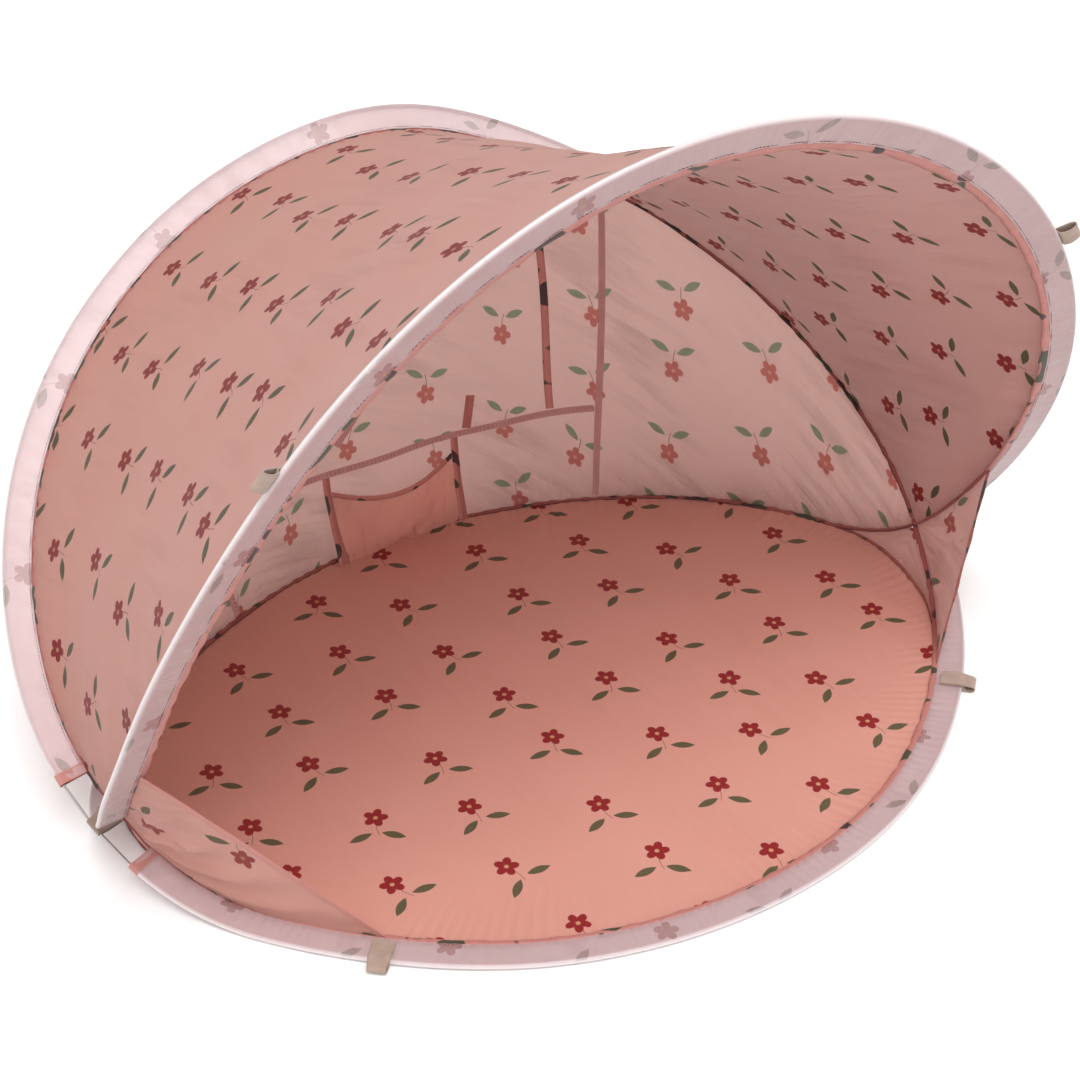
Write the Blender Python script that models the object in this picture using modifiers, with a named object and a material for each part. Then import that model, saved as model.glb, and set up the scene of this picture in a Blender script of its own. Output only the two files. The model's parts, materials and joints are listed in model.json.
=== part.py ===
"""Pop-up beach tent for small children, in metres, with +Z up.

Two closed rings of spring wire cross each other low down at the left and the right. Half of each
ring lies on the ground as an edge of the floor and the other half stands up as an arch: the ring
whose floor half is at the front has the rear arch, and the ring whose floor half is at the back
has the front arch. Four cloth sleeves hold the wires, and a canopy, a back wall, a floor and small
corner pieces are sewn between their seams. The open front faces -Y. The origin is on the ground,
on the underside of the floor.
"""

import math

import bmesh
import bpy
import numpy as np
from mathutils import Matrix, Vector
from mathutils.bvhtree import BVHTree

# Where the two rings cross, at each side
CROSS_HALF_SPAN = 0.600
CROSS_HEIGHT = 0.063
CROSS_FORWARD = 0.025

# How far and how high the middle of each half ring lies
FRONT_FLOOR_REACH = 0.464
BACK_FLOOR_REACH = 0.417
FRONT_ARCH_REACH = 0.339
FRONT_ARCH_HEIGHT = 0.888
REAR_ARCH_REACH = 0.480
REAR_ARCH_HEIGHT = 0.597

# Wire, cloth, piping and webbing
WIRE_DIAMETER = 0.0035
FERRULE_LENGTH = 0.040
FERRULE_WALL = 0.0004
SLEEVE_WIDTH = 0.032
SLEEVE_EASE = 0.0014
SLEEVE_CLOTH = 0.0010
SLEEVE_MOUTH = 0.0030
PANEL_CLOTH = 0.0015
FLOOR_CLOTH = 0.0020
PIPING_DIAMETER = 0.0040
TAPE_CLOTH = 0.0010
WEBBING_WIDTH = 0.025
WEBBING_THICKNESS = 0.0014
GAP = 0.0003

# Where the pieces stop, measured along the rings from a crossing
OPEN_NOTCH = 0.062
CLOSED_NOTCH = 0.016
WIRE_BREAK = 0.011
PIPING_BREAK = 0.014
PANEL_CORNER = 0.030

# Corner webs between the feet of the front arch and the front of the floor; the foot lengths are
# the left web's and the right web's
WEB_RISE = 0.185
WEB_FEET = (0.355, 0.252)
HEM_WIDTH = 0.008

# How far the middle of each cloth is drawn in by its own tension
CANOPY_WAIST = 0.018
WALL_WAIST = 0.008

# Low side walls, and the edge of the floor under them
SIDE_WALL_START = 0.012
SIDE_WALL_REACH = 0.310
SIDE_WALL_NOTCH = 0.0155
FLOOR_BRIDGE_EASE = 0.060

# Webbing loops: places along the rings from a crossing, left and right, and reach beyond the wire
FRONT_PEG_PLACES = (0.372, 0.300)
REAR_PEG_PLACES = (0.300, 0.300)
GUY_PLACES = (0.680, 0.680)
PEG_REACH = 0.019
GUY_REACH = 0.026
EYE_HALF_HEIGHT = 0.0042
EYE_TURN = (-2 * math.pi / 3, math.pi / 2)
LOOP_SEAM_EASE = 0.006

# Tapes and straps on the inside of the back wall: distances from the middle and heights
TAPE_WIDTH = 0.009
TAPE_STITCH_SPAN = 0.014
TAPE_FOOT_SPAN = 0.277
TAPE_TOP_SPAN = 0.352
LOW_TAPE_HEIGHT = 0.131
TIE_WIDTH = 0.011
TIE_FOOT_SPAN = 0.234
TIE_TOP_SPAN = 0.256
STUB_WIDTH = 0.012
STUB_CLOTH = 0.0030
STUB_LENGTH = 0.046
STUB_FOOT_SPAN = 0.109
STUB_TOP_SPAN = 0.119
SHORT_STRAP_TOP_SPAN = 0.030
SHORT_STRAP_TOP_HEIGHT = 0.230
SHORT_STRAP_FOOT_SPAN = 0.087
SHORT_STRAP_FOOT_HEIGHT = 0.168
STRAP_EASE = 0.002

# Pocket on the inside of the back wall
POCKET_LEFT_SPAN = 0.112
POCKET_RIGHT_SPAN = 0.095
POCKET_DEPTH = 0.104
POCKET_SAG = 0.016
POCKET_SWELL = 0.022
POCKET_EDGE_EASE = 0.0010
POCKET_FOOT_EASE = 0.0045
POCKET_FOOT_REACH = 0.016
BINDING_WIDTH = 0.010
RIM_WIDTH = 0.007

# Places along each half ring, from its middle out to the crossing: the share of the crossing's half
# span, the share of the half ring's own reach and the share of its own rise
FRONT_FLOOR_SHARES = ((0.0, 1.0, 0.0), (0.43, 0.872, 0.0), (0.71, 0.606, 0.0), (0.90, 0.30, 0.13))
BACK_FLOOR_SHARES = ((0.0, 1.0, 0.0), (0.507, 0.837, 0.0), (0.83, 0.502, 0.0), (0.957, 0.217, 0.12))
REAR_ARCH_SHARES = (
    (0.0, 1.0, 1.0),
    (0.337, 1.045, 0.885),
    (0.545, 1.006, 0.76),
    (0.757, 0.871, 0.60),
    (0.925, 0.657, 0.414),
    (1.017, 0.398, 0.228),
    (1.03, 0.139, 0.071),
)
FRONT_ARCH_SHARES = (
    (0.0, 1.0, 1.0),
    (0.287, 0.994, 0.966),
    (0.543, 0.971, 0.870),
    (0.75, 0.914, 0.726),
    (0.895, 0.806, 0.556),
    (0.98, 0.64, 0.383),
    (1.013, 0.439, 0.227),
    (1.017, 0.229, 0.102),
)

# Counts of facets
ARCH_STEPS = 44
FLOOR_STEPS = 36
DENSE_STEPS = 40
SIDE_STEPS = 12
SLEEVE_ARC_STEPS = 4
CANOPY_STEPS = 38
CANOPY_CROSS_STEPS = 7
WALL_STEPS = 36
WALL_CROSS_STEPS = 5
WEB_STEPS = 10
WEB_CROSS_STEPS = 4
EYE_STEPS = 6
STRAP_ARC_STEPS = 6
FERRULE_STEPS = 4
FERRULE_ROUND_STEPS = 2
POCKET_STEPS = 10
POCKET_RISE_STEPS = 5
BINDING_STEPS = 6

WIRE_RADIUS = WIRE_DIAMETER / 2
SLEEVE_RADIUS = WIRE_RADIUS + SLEEVE_EASE + SLEEVE_CLOTH / 2
WIRE_GROUND_HEIGHT = SLEEVE_RADIUS + SLEEVE_CLOTH / 2
PIPING_RADIUS = PIPING_DIAMETER / 2
SEAM_CLEARANCE = PIPING_RADIUS + GAP
SLEEVE_HEM_REACH = SLEEVE_WIDTH - PIPING_RADIUS - GAP
FOLD_BODIES = {
    "front_floor": "root",
    "back_floor": "back_edge",
    "rear_arch": "rear_arch",
    "front_arch": "front_arch",
}
SIDES = ((-1, "left"), (1, "right"))
HINGE_POINT = np.array([0.0, -CROSS_FORWARD, CROSS_HEIGHT])

COLOURS = {
    "canopy_cloth": (0.62, 0.29, 0.25, 0.80),
    "wall_cloth": (0.56, 0.31, 0.28, 0.80),
    "floor_cloth": (0.65, 0.29, 0.22, 0.75),
    "sleeve_cloth": (0.76, 0.54, 0.55, 0.70),
    "piping_cloth": (0.55, 0.20, 0.17, 0.80),
    "webbing": (0.55, 0.42, 0.33, 0.90),
    "spring_steel": (0.75, 0.74, 0.72, 0.35),
}


def unit(vectors):
    """Vectors of length one along the same directions."""
    vectors = np.asarray(vectors, float)
    return vectors / np.linalg.norm(vectors, axis=-1, keepdims=True)


def clear_scene():
    for obj in list(bpy.data.objects):
        bpy.data.objects.remove(obj, do_unlink=True)
    for collection in list(bpy.data.collections):
        bpy.data.collections.remove(collection)


def make_materials():
    materials = {}
    for name, (red, green, blue, roughness) in COLOURS.items():
        material = bpy.data.materials.new(name)
        material.use_nodes = True
        shader = material.node_tree.nodes["Principled BSDF"]
        shader.inputs["Base Color"].default_value = (red, green, blue, 1)
        shader.inputs["Roughness"].default_value = roughness
        shader.inputs["Metallic"].default_value = 1 if name == "spring_steel" else 0
        materials[name] = material
    return materials


# Ring curves


def closed_spline(points):
    """A closed curve, smooth to its second derivative, sampled densely through the points."""
    points = np.asarray(points, float)
    count = len(points)
    ahead = np.roll(points, -1, axis=0)
    spans = np.linalg.norm(ahead - points, axis=1)
    behind = np.roll(spans, 1)
    system = np.zeros((count, count))
    rise = (ahead - points) / spans[:, None]
    turn = 6 * (rise - np.roll(rise, 1, axis=0))
    for i in range(count):
        system[i, (i - 1) % count] += behind[i]
        system[i, i] += 2 * (behind[i] + spans[i])
        system[i, (i + 1) % count] += spans[i]
    bend = np.linalg.solve(system, turn)
    bend_ahead = np.roll(bend, -1, axis=0)
    curve = []
    for i in range(count):
        for step in range(DENSE_STEPS):
            late = step / DENSE_STEPS
            early = 1 - late
            square = spans[i] ** 2 / 6
            curve.append(
                early * points[i]
                + late * ahead[i]
                + square * ((early**3 - early) * bend[i] + (late**3 - late) * bend_ahead[i])
            )
    return np.array(curve)


def lengths_along(points):
    return np.concatenate([[0], np.cumsum(np.linalg.norm(np.diff(points, axis=0), axis=1))])


def at_lengths(points, wanted):
    """The points of a polyline at the wanted lengths along it."""
    along = lengths_along(points)
    return np.stack([np.interp(wanted, along, points[:, axis]) for axis in range(3)], axis=1)


def resample(points, steps, start=0.0, end=0.0):
    """Evenly spaced points, leaving out a length at the start and at the end."""
    total = lengths_along(points)[-1]
    return at_lengths(points, np.linspace(start, total - end, steps + 1))


def half_ring_places(shares, reach, rise, base):
    """Right-hand places of a half ring, from its middle to just before the crossing."""
    return [
        (across * CROSS_HALF_SPAN, -CROSS_FORWARD + out * reach, base + up * rise)
        for across, out, up in shares
    ]


def ring(floor_places, arch_places, cross_x):
    """The floor half and the arch half of a ring, each a dense curve from the left to the right."""
    crossing = (cross_x, -CROSS_FORWARD, CROSS_HEIGHT)
    right = [*floor_places, crossing, *reversed(arch_places)]
    left = [(-x, y, z) for x, y, z in reversed(right[1:-1])]
    curve = closed_spline(right + left)
    curve[:, 2] = np.maximum(curve[:, 2], WIRE_GROUND_HEIGHT)
    right_cross = len(floor_places) * DENSE_STEPS
    left_cross = len(curve) - right_cross
    arch = curve[right_cross : left_cross + 1][::-1]
    floor = np.concatenate([curve[left_cross:], curve[: right_cross + 1]])
    return floor, arch


def inward_directions(wire):
    """Unit directions square to a half ring, from the wire towards the middle of the tent."""
    height = np.minimum(wire[:, 2], CROSS_HEIGHT)
    middle = np.stack([0 * height, 0 * height - CROSS_FORWARD, height], axis=1)
    along = unit(np.gradient(wire, axis=0))
    inward = middle - wire
    inward -= np.sum(inward * along, axis=1, keepdims=True) * along
    return unit(inward)


def seam_of(wire):
    return wire + SLEEVE_WIDTH * inward_directions(wire)


def ring_curves():
    """Every half ring's wire and seam, by name, each from left to right."""
    floor_rise = CROSS_HEIGHT - WIRE_GROUND_HEIGHT
    side_step = (WIRE_DIAMETER + GAP) / 2
    front_floor = half_ring_places(
        FRONT_FLOOR_SHARES, CROSS_FORWARD - FRONT_FLOOR_REACH, floor_rise, WIRE_GROUND_HEIGHT
    )
    back_floor = half_ring_places(
        BACK_FLOOR_SHARES, CROSS_FORWARD + BACK_FLOOR_REACH, floor_rise, WIRE_GROUND_HEIGHT
    )
    rear_arch = half_ring_places(
        REAR_ARCH_SHARES, CROSS_FORWARD + REAR_ARCH_REACH, REAR_ARCH_HEIGHT - CROSS_HEIGHT, CROSS_HEIGHT
    )
    front_arch = half_ring_places(
        FRONT_ARCH_SHARES, CROSS_FORWARD - FRONT_ARCH_REACH, FRONT_ARCH_HEIGHT - CROSS_HEIGHT, CROSS_HEIGHT
    )
    wires = {}
    wires["front_floor"], wires["rear_arch"] = ring(front_floor, rear_arch, CROSS_HALF_SPAN + side_step)
    wires["back_floor"], wires["front_arch"] = ring(back_floor, front_arch, CROSS_HALF_SPAN - side_step)
    seams = {name: seam_of(wire) for name, wire in wires.items()}
    return wires, seams


# Making objects


class Maker:
    """Adds objects to the tent's collection, each under the empty of the body that it moves with."""

    def __init__(self):
        self.materials = make_materials()
        self.collection = bpy.data.collections.new("beach_tent")
        bpy.context.scene.collection.children.link(self.collection)
        self.bodies = {}

    def body(self, name, point, parent=None, turn=None):
        """An empty on a joint's axis."""
        empty = bpy.data.objects.new(name, None)
        empty.empty_display_size = WEBBING_WIDTH
        self.collection.objects.link(empty)
        place = Matrix.Translation(Vector(point))
        if turn is not None:
            place = place @ turn
        if parent:
            empty.parent = self.bodies[parent]
            bpy.context.view_layer.update()
            empty.matrix_basis = self.bodies[parent].matrix_world.inverted() @ place
        else:
            empty.matrix_basis = place
        self.bodies[name] = empty
        bpy.context.view_layer.update()
        return empty

    def link(self, name, data, material, body):
        obj = bpy.data.objects.new(name, data)
        data.materials.append(self.materials[material])
        self.collection.objects.link(obj)
        obj.parent = self.bodies[body]
        obj.matrix_parent_inverse = self.bodies[body].matrix_world.inverted()
        return obj

    def sheet(self, name, rows, thickness, material, body, offset=0.0):
        """A loft through rows of points, given a thickness."""
        rows = np.asarray(rows, float)
        grid = bmesh.new()
        lines = [[grid.verts.new(point) for point in row] for row in rows]
        for first, second in zip(lines, lines[1:]):
            for i in range(len(first) - 1):
                grid.faces.new((first[i], first[i + 1], second[i + 1], second[i]))
        mesh = bpy.data.meshes.new(name)
        grid.to_mesh(mesh)
        grid.free()
        mesh.shade_smooth()
        obj = self.link(name, mesh, material, body)
        wall = obj.modifiers.new("cloth", "SOLIDIFY")
        wall.thickness = thickness
        wall.offset = offset
        return obj

    def tube(self, name, points, diameter, material, body, resolution=1, caps=True):
        """A round wire or cord along the points, with flat ends, or an open shell without caps."""
        curve = bpy.data.curves.new(name, "CURVE")
        curve.dimensions = "3D"
        curve.bevel_depth = diameter / 2
        curve.bevel_resolution = resolution
        curve.use_fill_caps = caps
        spline = curve.splines.new("POLY")
        spline.points.add(len(points) - 1)
        for slot, point in zip(spline.points, points):
            slot.co = (*point, 1)
        return self.link(name, curve, material, body)

    def plate(self, name, outline, base, thickness, material, body):
        """A flat outline in the ground plane, filled and given a thickness above its base."""
        curve = bpy.data.curves.new(name, "CURVE")
        curve.dimensions = "2D"
        curve.fill_mode = "BOTH"
        curve.extrude = thickness / 2
        spline = curve.splines.new("POLY")
        spline.points.add(len(outline) - 1)
        for slot, point in zip(spline.points, outline):
            slot.co = (point[0], point[1], 0, 1)
        spline.use_cyclic_u = True
        obj = self.link(name, curve, material, body)
        obj.location.z = base + thickness / 2
        return obj


# Frame and sleeves


def sleeve_rows(wire, start, end, steps):
    """Sections of a sleeve: cloth that comes from the seam, goes round the wire and comes back."""
    dense_in = inward_directions(wire)
    total = lengths_along(wire)[-1]
    wanted = np.linspace(start, total - end, steps + 1)
    centres = at_lengths(wire, wanted)
    inward = unit(at_lengths_of(dense_in, wire, wanted))
    along = unit(at_lengths_of(np.gradient(wire, axis=0), wire, wanted))
    across = unit(np.cross(along, inward))
    mouth = SLEEVE_MOUTH / 2
    outline = [(SLEEVE_HEM_REACH, mouth)]
    for step in range(SLEEVE_ARC_STEPS + 1):
        angle = math.pi / 2 + step * math.pi / SLEEVE_ARC_STEPS
        outline.append((SLEEVE_RADIUS * math.cos(angle), SLEEVE_RADIUS * math.sin(angle)))
    outline.append((SLEEVE_HEM_REACH, -mouth))
    return [centres + reach * inward + lift * across for reach, lift in outline]


def at_lengths_of(values, points, wanted):
    """Values given at a polyline's points, read at the wanted lengths along it."""
    along = lengths_along(points)
    return np.stack([np.interp(wanted, along, values[:, axis]) for axis in range(3)], axis=1)


def make_frame(maker, wires):
    notches = {
        "front_floor": OPEN_NOTCH,
        "rear_arch": OPEN_NOTCH,
        "back_floor": CLOSED_NOTCH,
        "front_arch": CLOSED_NOTCH,
    }
    for name, wire in wires.items():
        steps = ARCH_STEPS if name.endswith("arch") else FLOOR_STEPS
        body = FOLD_BODIES[name]
        route = resample(wire, steps, WIRE_BREAK, WIRE_BREAK)
        maker.tube(f"{name}_wire", route, WIRE_DIAMETER, "spring_steel", body)
        rows = sleeve_rows(wire, notches[name], notches[name], steps)
        maker.sheet(f"{name}_sleeve", rows, SLEEVE_CLOTH, "sleeve_cloth", body)


def make_ferrules(maker, wires):
    """A crimped tube in the middle of each floor half, where the ends of that ring's wire meet."""
    for name in ("front_floor", "back_floor"):
        middle = lengths_along(wires[name])[-1] / 2
        places = np.linspace(middle - FERRULE_LENGTH / 2, middle + FERRULE_LENGTH / 2, FERRULE_STEPS + 1)
        route = at_lengths(wires[name], places)
        diameter = WIRE_DIAMETER + 3 * GAP
        body = FOLD_BODIES[name]
        ferrule = maker.tube(
            f"{name}_ferrule", route, diameter, "spring_steel", body, FERRULE_ROUND_STEPS, caps=False
        )
        wall = ferrule.modifiers.new("wall", "SOLIDIFY")
        wall.thickness = FERRULE_WALL
        wall.offset = 1.0


def make_pipings(maker, seams):
    for name, seam in seams.items():
        steps = ARCH_STEPS if name.endswith("arch") else FLOOR_STEPS
        route = resample(seam, steps, PIPING_BREAK, PIPING_BREAK)
        maker.tube(f"{name}_piping", route, PIPING_DIAMETER, "piping_cloth", FOLD_BODIES[name])


# Cloth between the seams


def set_back(seam, other):
    """Points moved from a seam towards another one until they are clear of its piping."""
    along = unit(np.gradient(seam, axis=0))
    way = unit(other - seam)
    square = way - np.sum(way * along, axis=1, keepdims=True) * along
    return seam + way * (SEAM_CLEARANCE + GAP) / np.linalg.norm(square, axis=1, keepdims=True)


def panel_rows(first, second, steps, cross_steps, waist, towards):
    """A taut panel between two seams, clear of their piping and of the corners where they meet."""
    shares = np.linspace(0, 1, steps * DENSE_STEPS + 1)
    one = at_lengths(first, shares * lengths_along(first)[-1])
    two = at_lengths(second, shares * lengths_along(second)[-1])
    wide = np.linalg.norm(two - one, axis=1) > PANEL_CORNER
    inside = np.nonzero(wide)[0]
    picked = np.linspace(inside[0], inside[-1], steps + 1).round().astype(int)
    one, two = one[picked], two[picked]
    span = np.linalg.norm(two - one, axis=1, keepdims=True)
    one, two = set_back(one, two), set_back(two, one)
    rows = []
    for line in range(cross_steps + 1):
        share = line / cross_steps
        point = one * (1 - share) + two * share
        pull = unit(towards - point)
        depth = 4 * share * (1 - share) * waist * span / span.max()
        rows.append(point + pull * depth)
    return rows


def floor_outline(seams):
    """The edge of the floor: the two floor seams, with a bridge between them under each crossing."""
    right = {}
    for name in ("front_floor", "back_floor"):
        half = seams[name][len(seams[name]) // 2 :]
        right[name] = half[half[:, 2] < SIDE_WALL_START]
    start, end = right["front_floor"][-1], right["back_floor"][-1]
    start_way = unit(start - right["front_floor"][-2])
    end_way = unit(end - right["back_floor"][-2])
    first = start + start_way * FLOOR_BRIDGE_EASE
    second = end + end_way * FLOOR_BRIDGE_EASE
    bridge = []
    for step in range(1, FLOOR_STEPS):
        late = step / FLOOR_STEPS
        early = 1 - late
        bridge.append(
            early**3 * start + 3 * early**2 * late * first + 3 * early * late**2 * second + late**3 * end
        )
    line = np.concatenate([right["front_floor"], bridge, right["back_floor"][::-1]])
    line[:, 2] = 0
    return line


def inset(outline, width):
    """An outline drawn in level by a width, towards its left-hand side."""
    along = unit(np.gradient(outline, axis=0))
    return outline + width * np.stack([-along[:, 1], along[:, 0], 0 * along[:, 2]], axis=1)


def make_floor(maker, seams):
    right = inset(floor_outline(seams), SEAM_CLEARANCE)
    right = resample(right, FLOOR_STEPS)
    left = right[::-1][1:-1] * np.array([-1, 1, 1])
    maker.plate("floor_sheet", np.concatenate([right, left]), 0.0, FLOOR_CLOTH, "floor_cloth", "root")


def corner_curve(seams, name, side, length):
    """A seam from a crossing outwards, for a length, on the side given as -1 or 1."""
    seam = seams[name] if side < 0 else seams[name][::-1]
    return at_lengths(seam, np.linspace(0, length, DENSE_STEPS + 1))


def make_side_walls(maker, seams):
    """Low walls that close the floor to the raised crossings, one at each side."""
    edge = inset(floor_outline(seams), SEAM_CLEARANCE + PANEL_CLOTH)
    for side, label in SIDES:
        front = corner_curve(seams, "front_floor", side, SIDE_WALL_REACH)
        back = corner_curve(seams, "back_floor", side, SIDE_WALL_REACH)
        front = front[(front[:, 2] > SIDE_WALL_START) & (lengths_along(front) > SIDE_WALL_NOTCH)]
        back = back[(back[:, 2] > SIDE_WALL_START) & (lengths_along(back) > SIDE_WALL_NOTCH)]
        upper = resample(np.concatenate([front[::-1], back]), SIDE_STEPS)
        lower = []
        for point in upper:
            away = np.linalg.norm(edge[:, :2] * (side, 1) - point[:2], axis=1)
            near = edge[away.argmin()]
            lower.append((side * near[0], near[1], FLOOR_CLOTH + GAP))
        lower = np.array(lower)
        upper = set_back(upper, lower)
        maker.sheet(f"side_wall_{label}", [upper, lower], PANEL_CLOTH, "wall_cloth", "root")


def make_corner_webs(maker, seams):
    """Triangles of cloth between the front arch's feet and the floor, with a hem along each free edge."""
    for (side, label), foot in zip(SIDES, WEB_FEET):
        arch = corner_curve(seams, "front_arch", side, WEB_RISE)
        floor = corner_curve(seams, "front_floor", side, foot)
        apart = np.linalg.norm(arch - floor, axis=1)
        start_share = np.argmax(apart > PANEL_CORNER) / DENSE_STEPS
        shares = np.linspace(start_share, 1, WEB_STEPS + 1)
        drawn_in = HEM_WIDTH + 2 * GAP
        web_arch = at_lengths(arch, shares * (WEB_RISE - drawn_in))
        web_floor = at_lengths(floor, shares * (foot - drawn_in))
        web = between(web_arch, web_floor, WEB_CROSS_STEPS)
        maker.sheet(f"corner_web_{label}", web, PANEL_CLOTH, "canopy_cloth", "root")
        hem_arch = at_lengths(arch, np.array([WEB_RISE - HEM_WIDTH, WEB_RISE]))
        hem_floor = at_lengths(floor, np.array([foot - HEM_WIDTH, foot]))
        hem = between(hem_arch, hem_floor, WEB_CROSS_STEPS)
        maker.sheet(f"web_hem_{label}", hem, PANEL_CLOTH, "piping_cloth", "root")


def between(first, second, steps):
    """Rows of a straight-lined sheet between two edges, clear of the piping along both."""
    one, two = set_back(first, second), set_back(second, first)
    return [one * (1 - share) + two * share for share in np.linspace(0, 1, steps + 1)]


# Webbing


def frame_at(wire, side, place):
    """A wire's centre at a length from a crossing, and the directions along, inward and across there."""
    curve = wire if side < 0 else wire[::-1]
    centre = at_lengths(curve, [place])[0]
    along = unit(at_lengths_of(np.gradient(curve, axis=0), curve, [place]))[0]
    inward = unit(at_lengths_of(inward_directions(curve), curve, [place]))[0]
    return centre, along, inward, unit(np.cross(along, inward))


def strip(path, centre, outward, normal, along, width):
    """Two rows of a strap: a path, given as reaches outward and lifts, swept over a width."""
    line = np.array([centre + reach * outward + lift * normal for reach, lift in path])
    return [line - along * width / 2, line + along * width / 2]


def loop_path(reach):
    """A folded strap from the seam over the sleeve to an open eye beyond the wire, and back on itself."""
    slack = 2 * GAP + WEBBING_THICKNESS / 2
    outer = SLEEVE_RADIUS + SLEEVE_CLOTH / 2 + slack
    start = LOOP_SEAM_EASE - SLEEVE_HEM_REACH
    seam_height = (SLEEVE_MOUTH + SLEEVE_CLOTH) / 2 + slack
    seam_lift = seam_height + (outer - seam_height) * LOOP_SEAM_EASE / SLEEVE_HEM_REACH
    layer = WEBBING_THICKNESS + GAP
    half_length = (reach - outer) / 2
    middle = outer + half_length
    level = EYE_HALF_HEIGHT + WEBBING_THICKNESS / 2 + GAP - WIRE_GROUND_HEIGHT
    corner = outer * math.sqrt(0.5)
    path = [(start, seam_lift), (0, outer), (corner, corner), (outer, 0)]
    for angle in np.linspace(*EYE_TURN, EYE_STEPS + 1):
        path.append((middle + half_length * math.cos(angle), level + EYE_HALF_HEIGHT * math.sin(angle)))
    path += [(0, outer + layer), (start, seam_lift + layer)]
    return path


def make_loop(maker, name, wire, side, place, reach, facing, parent):
    """A webbing loop, hung on its stitch line by the seam, on the sleeve's face on the side given."""
    centre, along, inward, across = frame_at(wire, side, place)
    outward = -inward
    normal = across if across @ facing > 0 else -across
    path = loop_path(reach)
    stitch = centre + path[0][0] * outward + path[0][1] * normal
    axis = np.cross(outward, normal)
    turn = Matrix(np.array([axis, outward, normal]).T.tolist()).to_4x4()
    maker.body(f"{name}_turn", stitch, parent, turn)
    rows = strip(path, centre, outward, normal, along, WEBBING_WIDTH)
    maker.sheet(name, rows, WEBBING_THICKNESS, "webbing", f"{name}_turn")


def make_loops(maker, wires):
    up = np.array([0.0, 0.0, 1.0])
    back = np.array([0.0, 1.0, 0.0])
    kinds = (
        ("front_peg_loop", "front_floor", FRONT_PEG_PLACES, PEG_REACH, up),
        ("rear_peg_loop", "back_floor", REAR_PEG_PLACES, PEG_REACH, up),
        ("guy_loop", "front_arch", GUY_PLACES, GUY_REACH, back),
    )
    for name, ring_half, places, reach, facing in kinds:
        for (side, label), place in zip(SIDES, places):
            full_name = f"{name}_{label}"
            make_loop(maker, full_name, wires[ring_half], side, place, reach, facing, FOLD_BODIES[ring_half])


def make_crossing_straps(maker, wires):
    """A strap folded round the outer wire where the rings cross, with both legs sewn in at the seams."""
    for side, label in SIDES:
        centre, along, inward, across = frame_at(wires["front_floor"], side, 0.0)
        radius = WIRE_RADIUS + GAP + WEBBING_THICKNESS / 2
        path = [(-SLEEVE_HEM_REACH, radius)]
        for angle in np.linspace(math.pi / 2, -math.pi / 2, STRAP_ARC_STEPS + 1):
            path.append((radius * math.cos(angle), radius * math.sin(angle)))
        path.append((-SLEEVE_HEM_REACH, -radius))
        rows = strip(path, centre, -inward, across, along, WEBBING_WIDTH)
        maker.sheet(f"crossing_strap_{label}", rows, WEBBING_THICKNESS, "webbing", "root")


# Pocket, tapes and straps inside the back wall


class WallFace:
    """The inner face of the back wall, read by distance from the middle and height."""

    def __init__(self, wall, rows):
        bpy.context.view_layer.update()
        self.tree = BVHTree.FromObject(wall, bpy.context.evaluated_depsgraph_get())
        self.upper = rows[0]
        self.lower = rows[-1]

    def edge_height(self, edge, span):
        """The height of the wall's upper or lower edge at a distance from the middle."""
        inner = edge[edge[:, 0].argmin() : edge[:, 0].argmax() + 1]
        return float(np.interp(span, inner[:, 0], inner[:, 2]))

    def at(self, span, height):
        """The face's point there, and the direction from it into the tent."""
        clear_height = max(height, self.edge_height(self.lower, span) + GAP)
        start = Vector((span, -CROSS_FORWARD, clear_height))
        point, normal, _, _ = self.tree.ray_cast(start, Vector((0, 1, 0)))
        inward = normal if normal.y < 0 else -normal
        place = np.array(point)
        place[2] = height
        return place, np.array(inward)

    def lifted(self, span, height, lift):
        point, inward = self.at(span, height)
        return point + inward * lift


def lay_strap(maker, face, name, foot, top, width, thickness, material):
    """A flat strap on the wall from one place to another, each given as span and height."""
    foot, top = np.array(foot), np.array(top)
    along = unit(top - foot)
    side = np.array([along[1], -along[0]]) * width / 2
    lift = 2 * GAP + thickness / 2
    steps = math.ceil(np.linalg.norm(top - foot) / TAPE_STITCH_SPAN)
    rows = []
    for sign in (-1, 1):
        places = [foot + (top - foot) * share + sign * side for share in np.linspace(0, 1, steps + 1)]
        rows.append([face.lifted(span, height, lift) for span, height in places])
    maker.sheet(name, rows, thickness, material, "rear_arch")


def make_tapes(maker, face):
    foot_height = face.edge_height(face.lower, TAPE_FOOT_SPAN) + TAPE_WIDTH / 2
    top_height = face.edge_height(face.upper, TAPE_TOP_SPAN) - TAPE_WIDTH / 2
    for side, label in SIDES:
        foot = (side * TAPE_FOOT_SPAN, foot_height)
        top = (side * TAPE_TOP_SPAN, top_height)
        lay_strap(maker, face, f"wall_tape_{label}", foot, top, TAPE_WIDTH, TAPE_CLOTH, "piping_cloth")
    low_share = (LOW_TAPE_HEIGHT - TAPE_WIDTH / 2 - foot_height) / (top_height - foot_height)
    reach = TAPE_FOOT_SPAN + (TAPE_TOP_SPAN - TAPE_FOOT_SPAN) * low_share - TAPE_WIDTH / 2 - 2 * GAP
    low = [(-reach, LOW_TAPE_HEIGHT), (reach, LOW_TAPE_HEIGHT)]
    lay_strap(maker, face, "wall_tape_low", *low, TAPE_WIDTH, TAPE_CLOTH, "piping_cloth")


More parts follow.
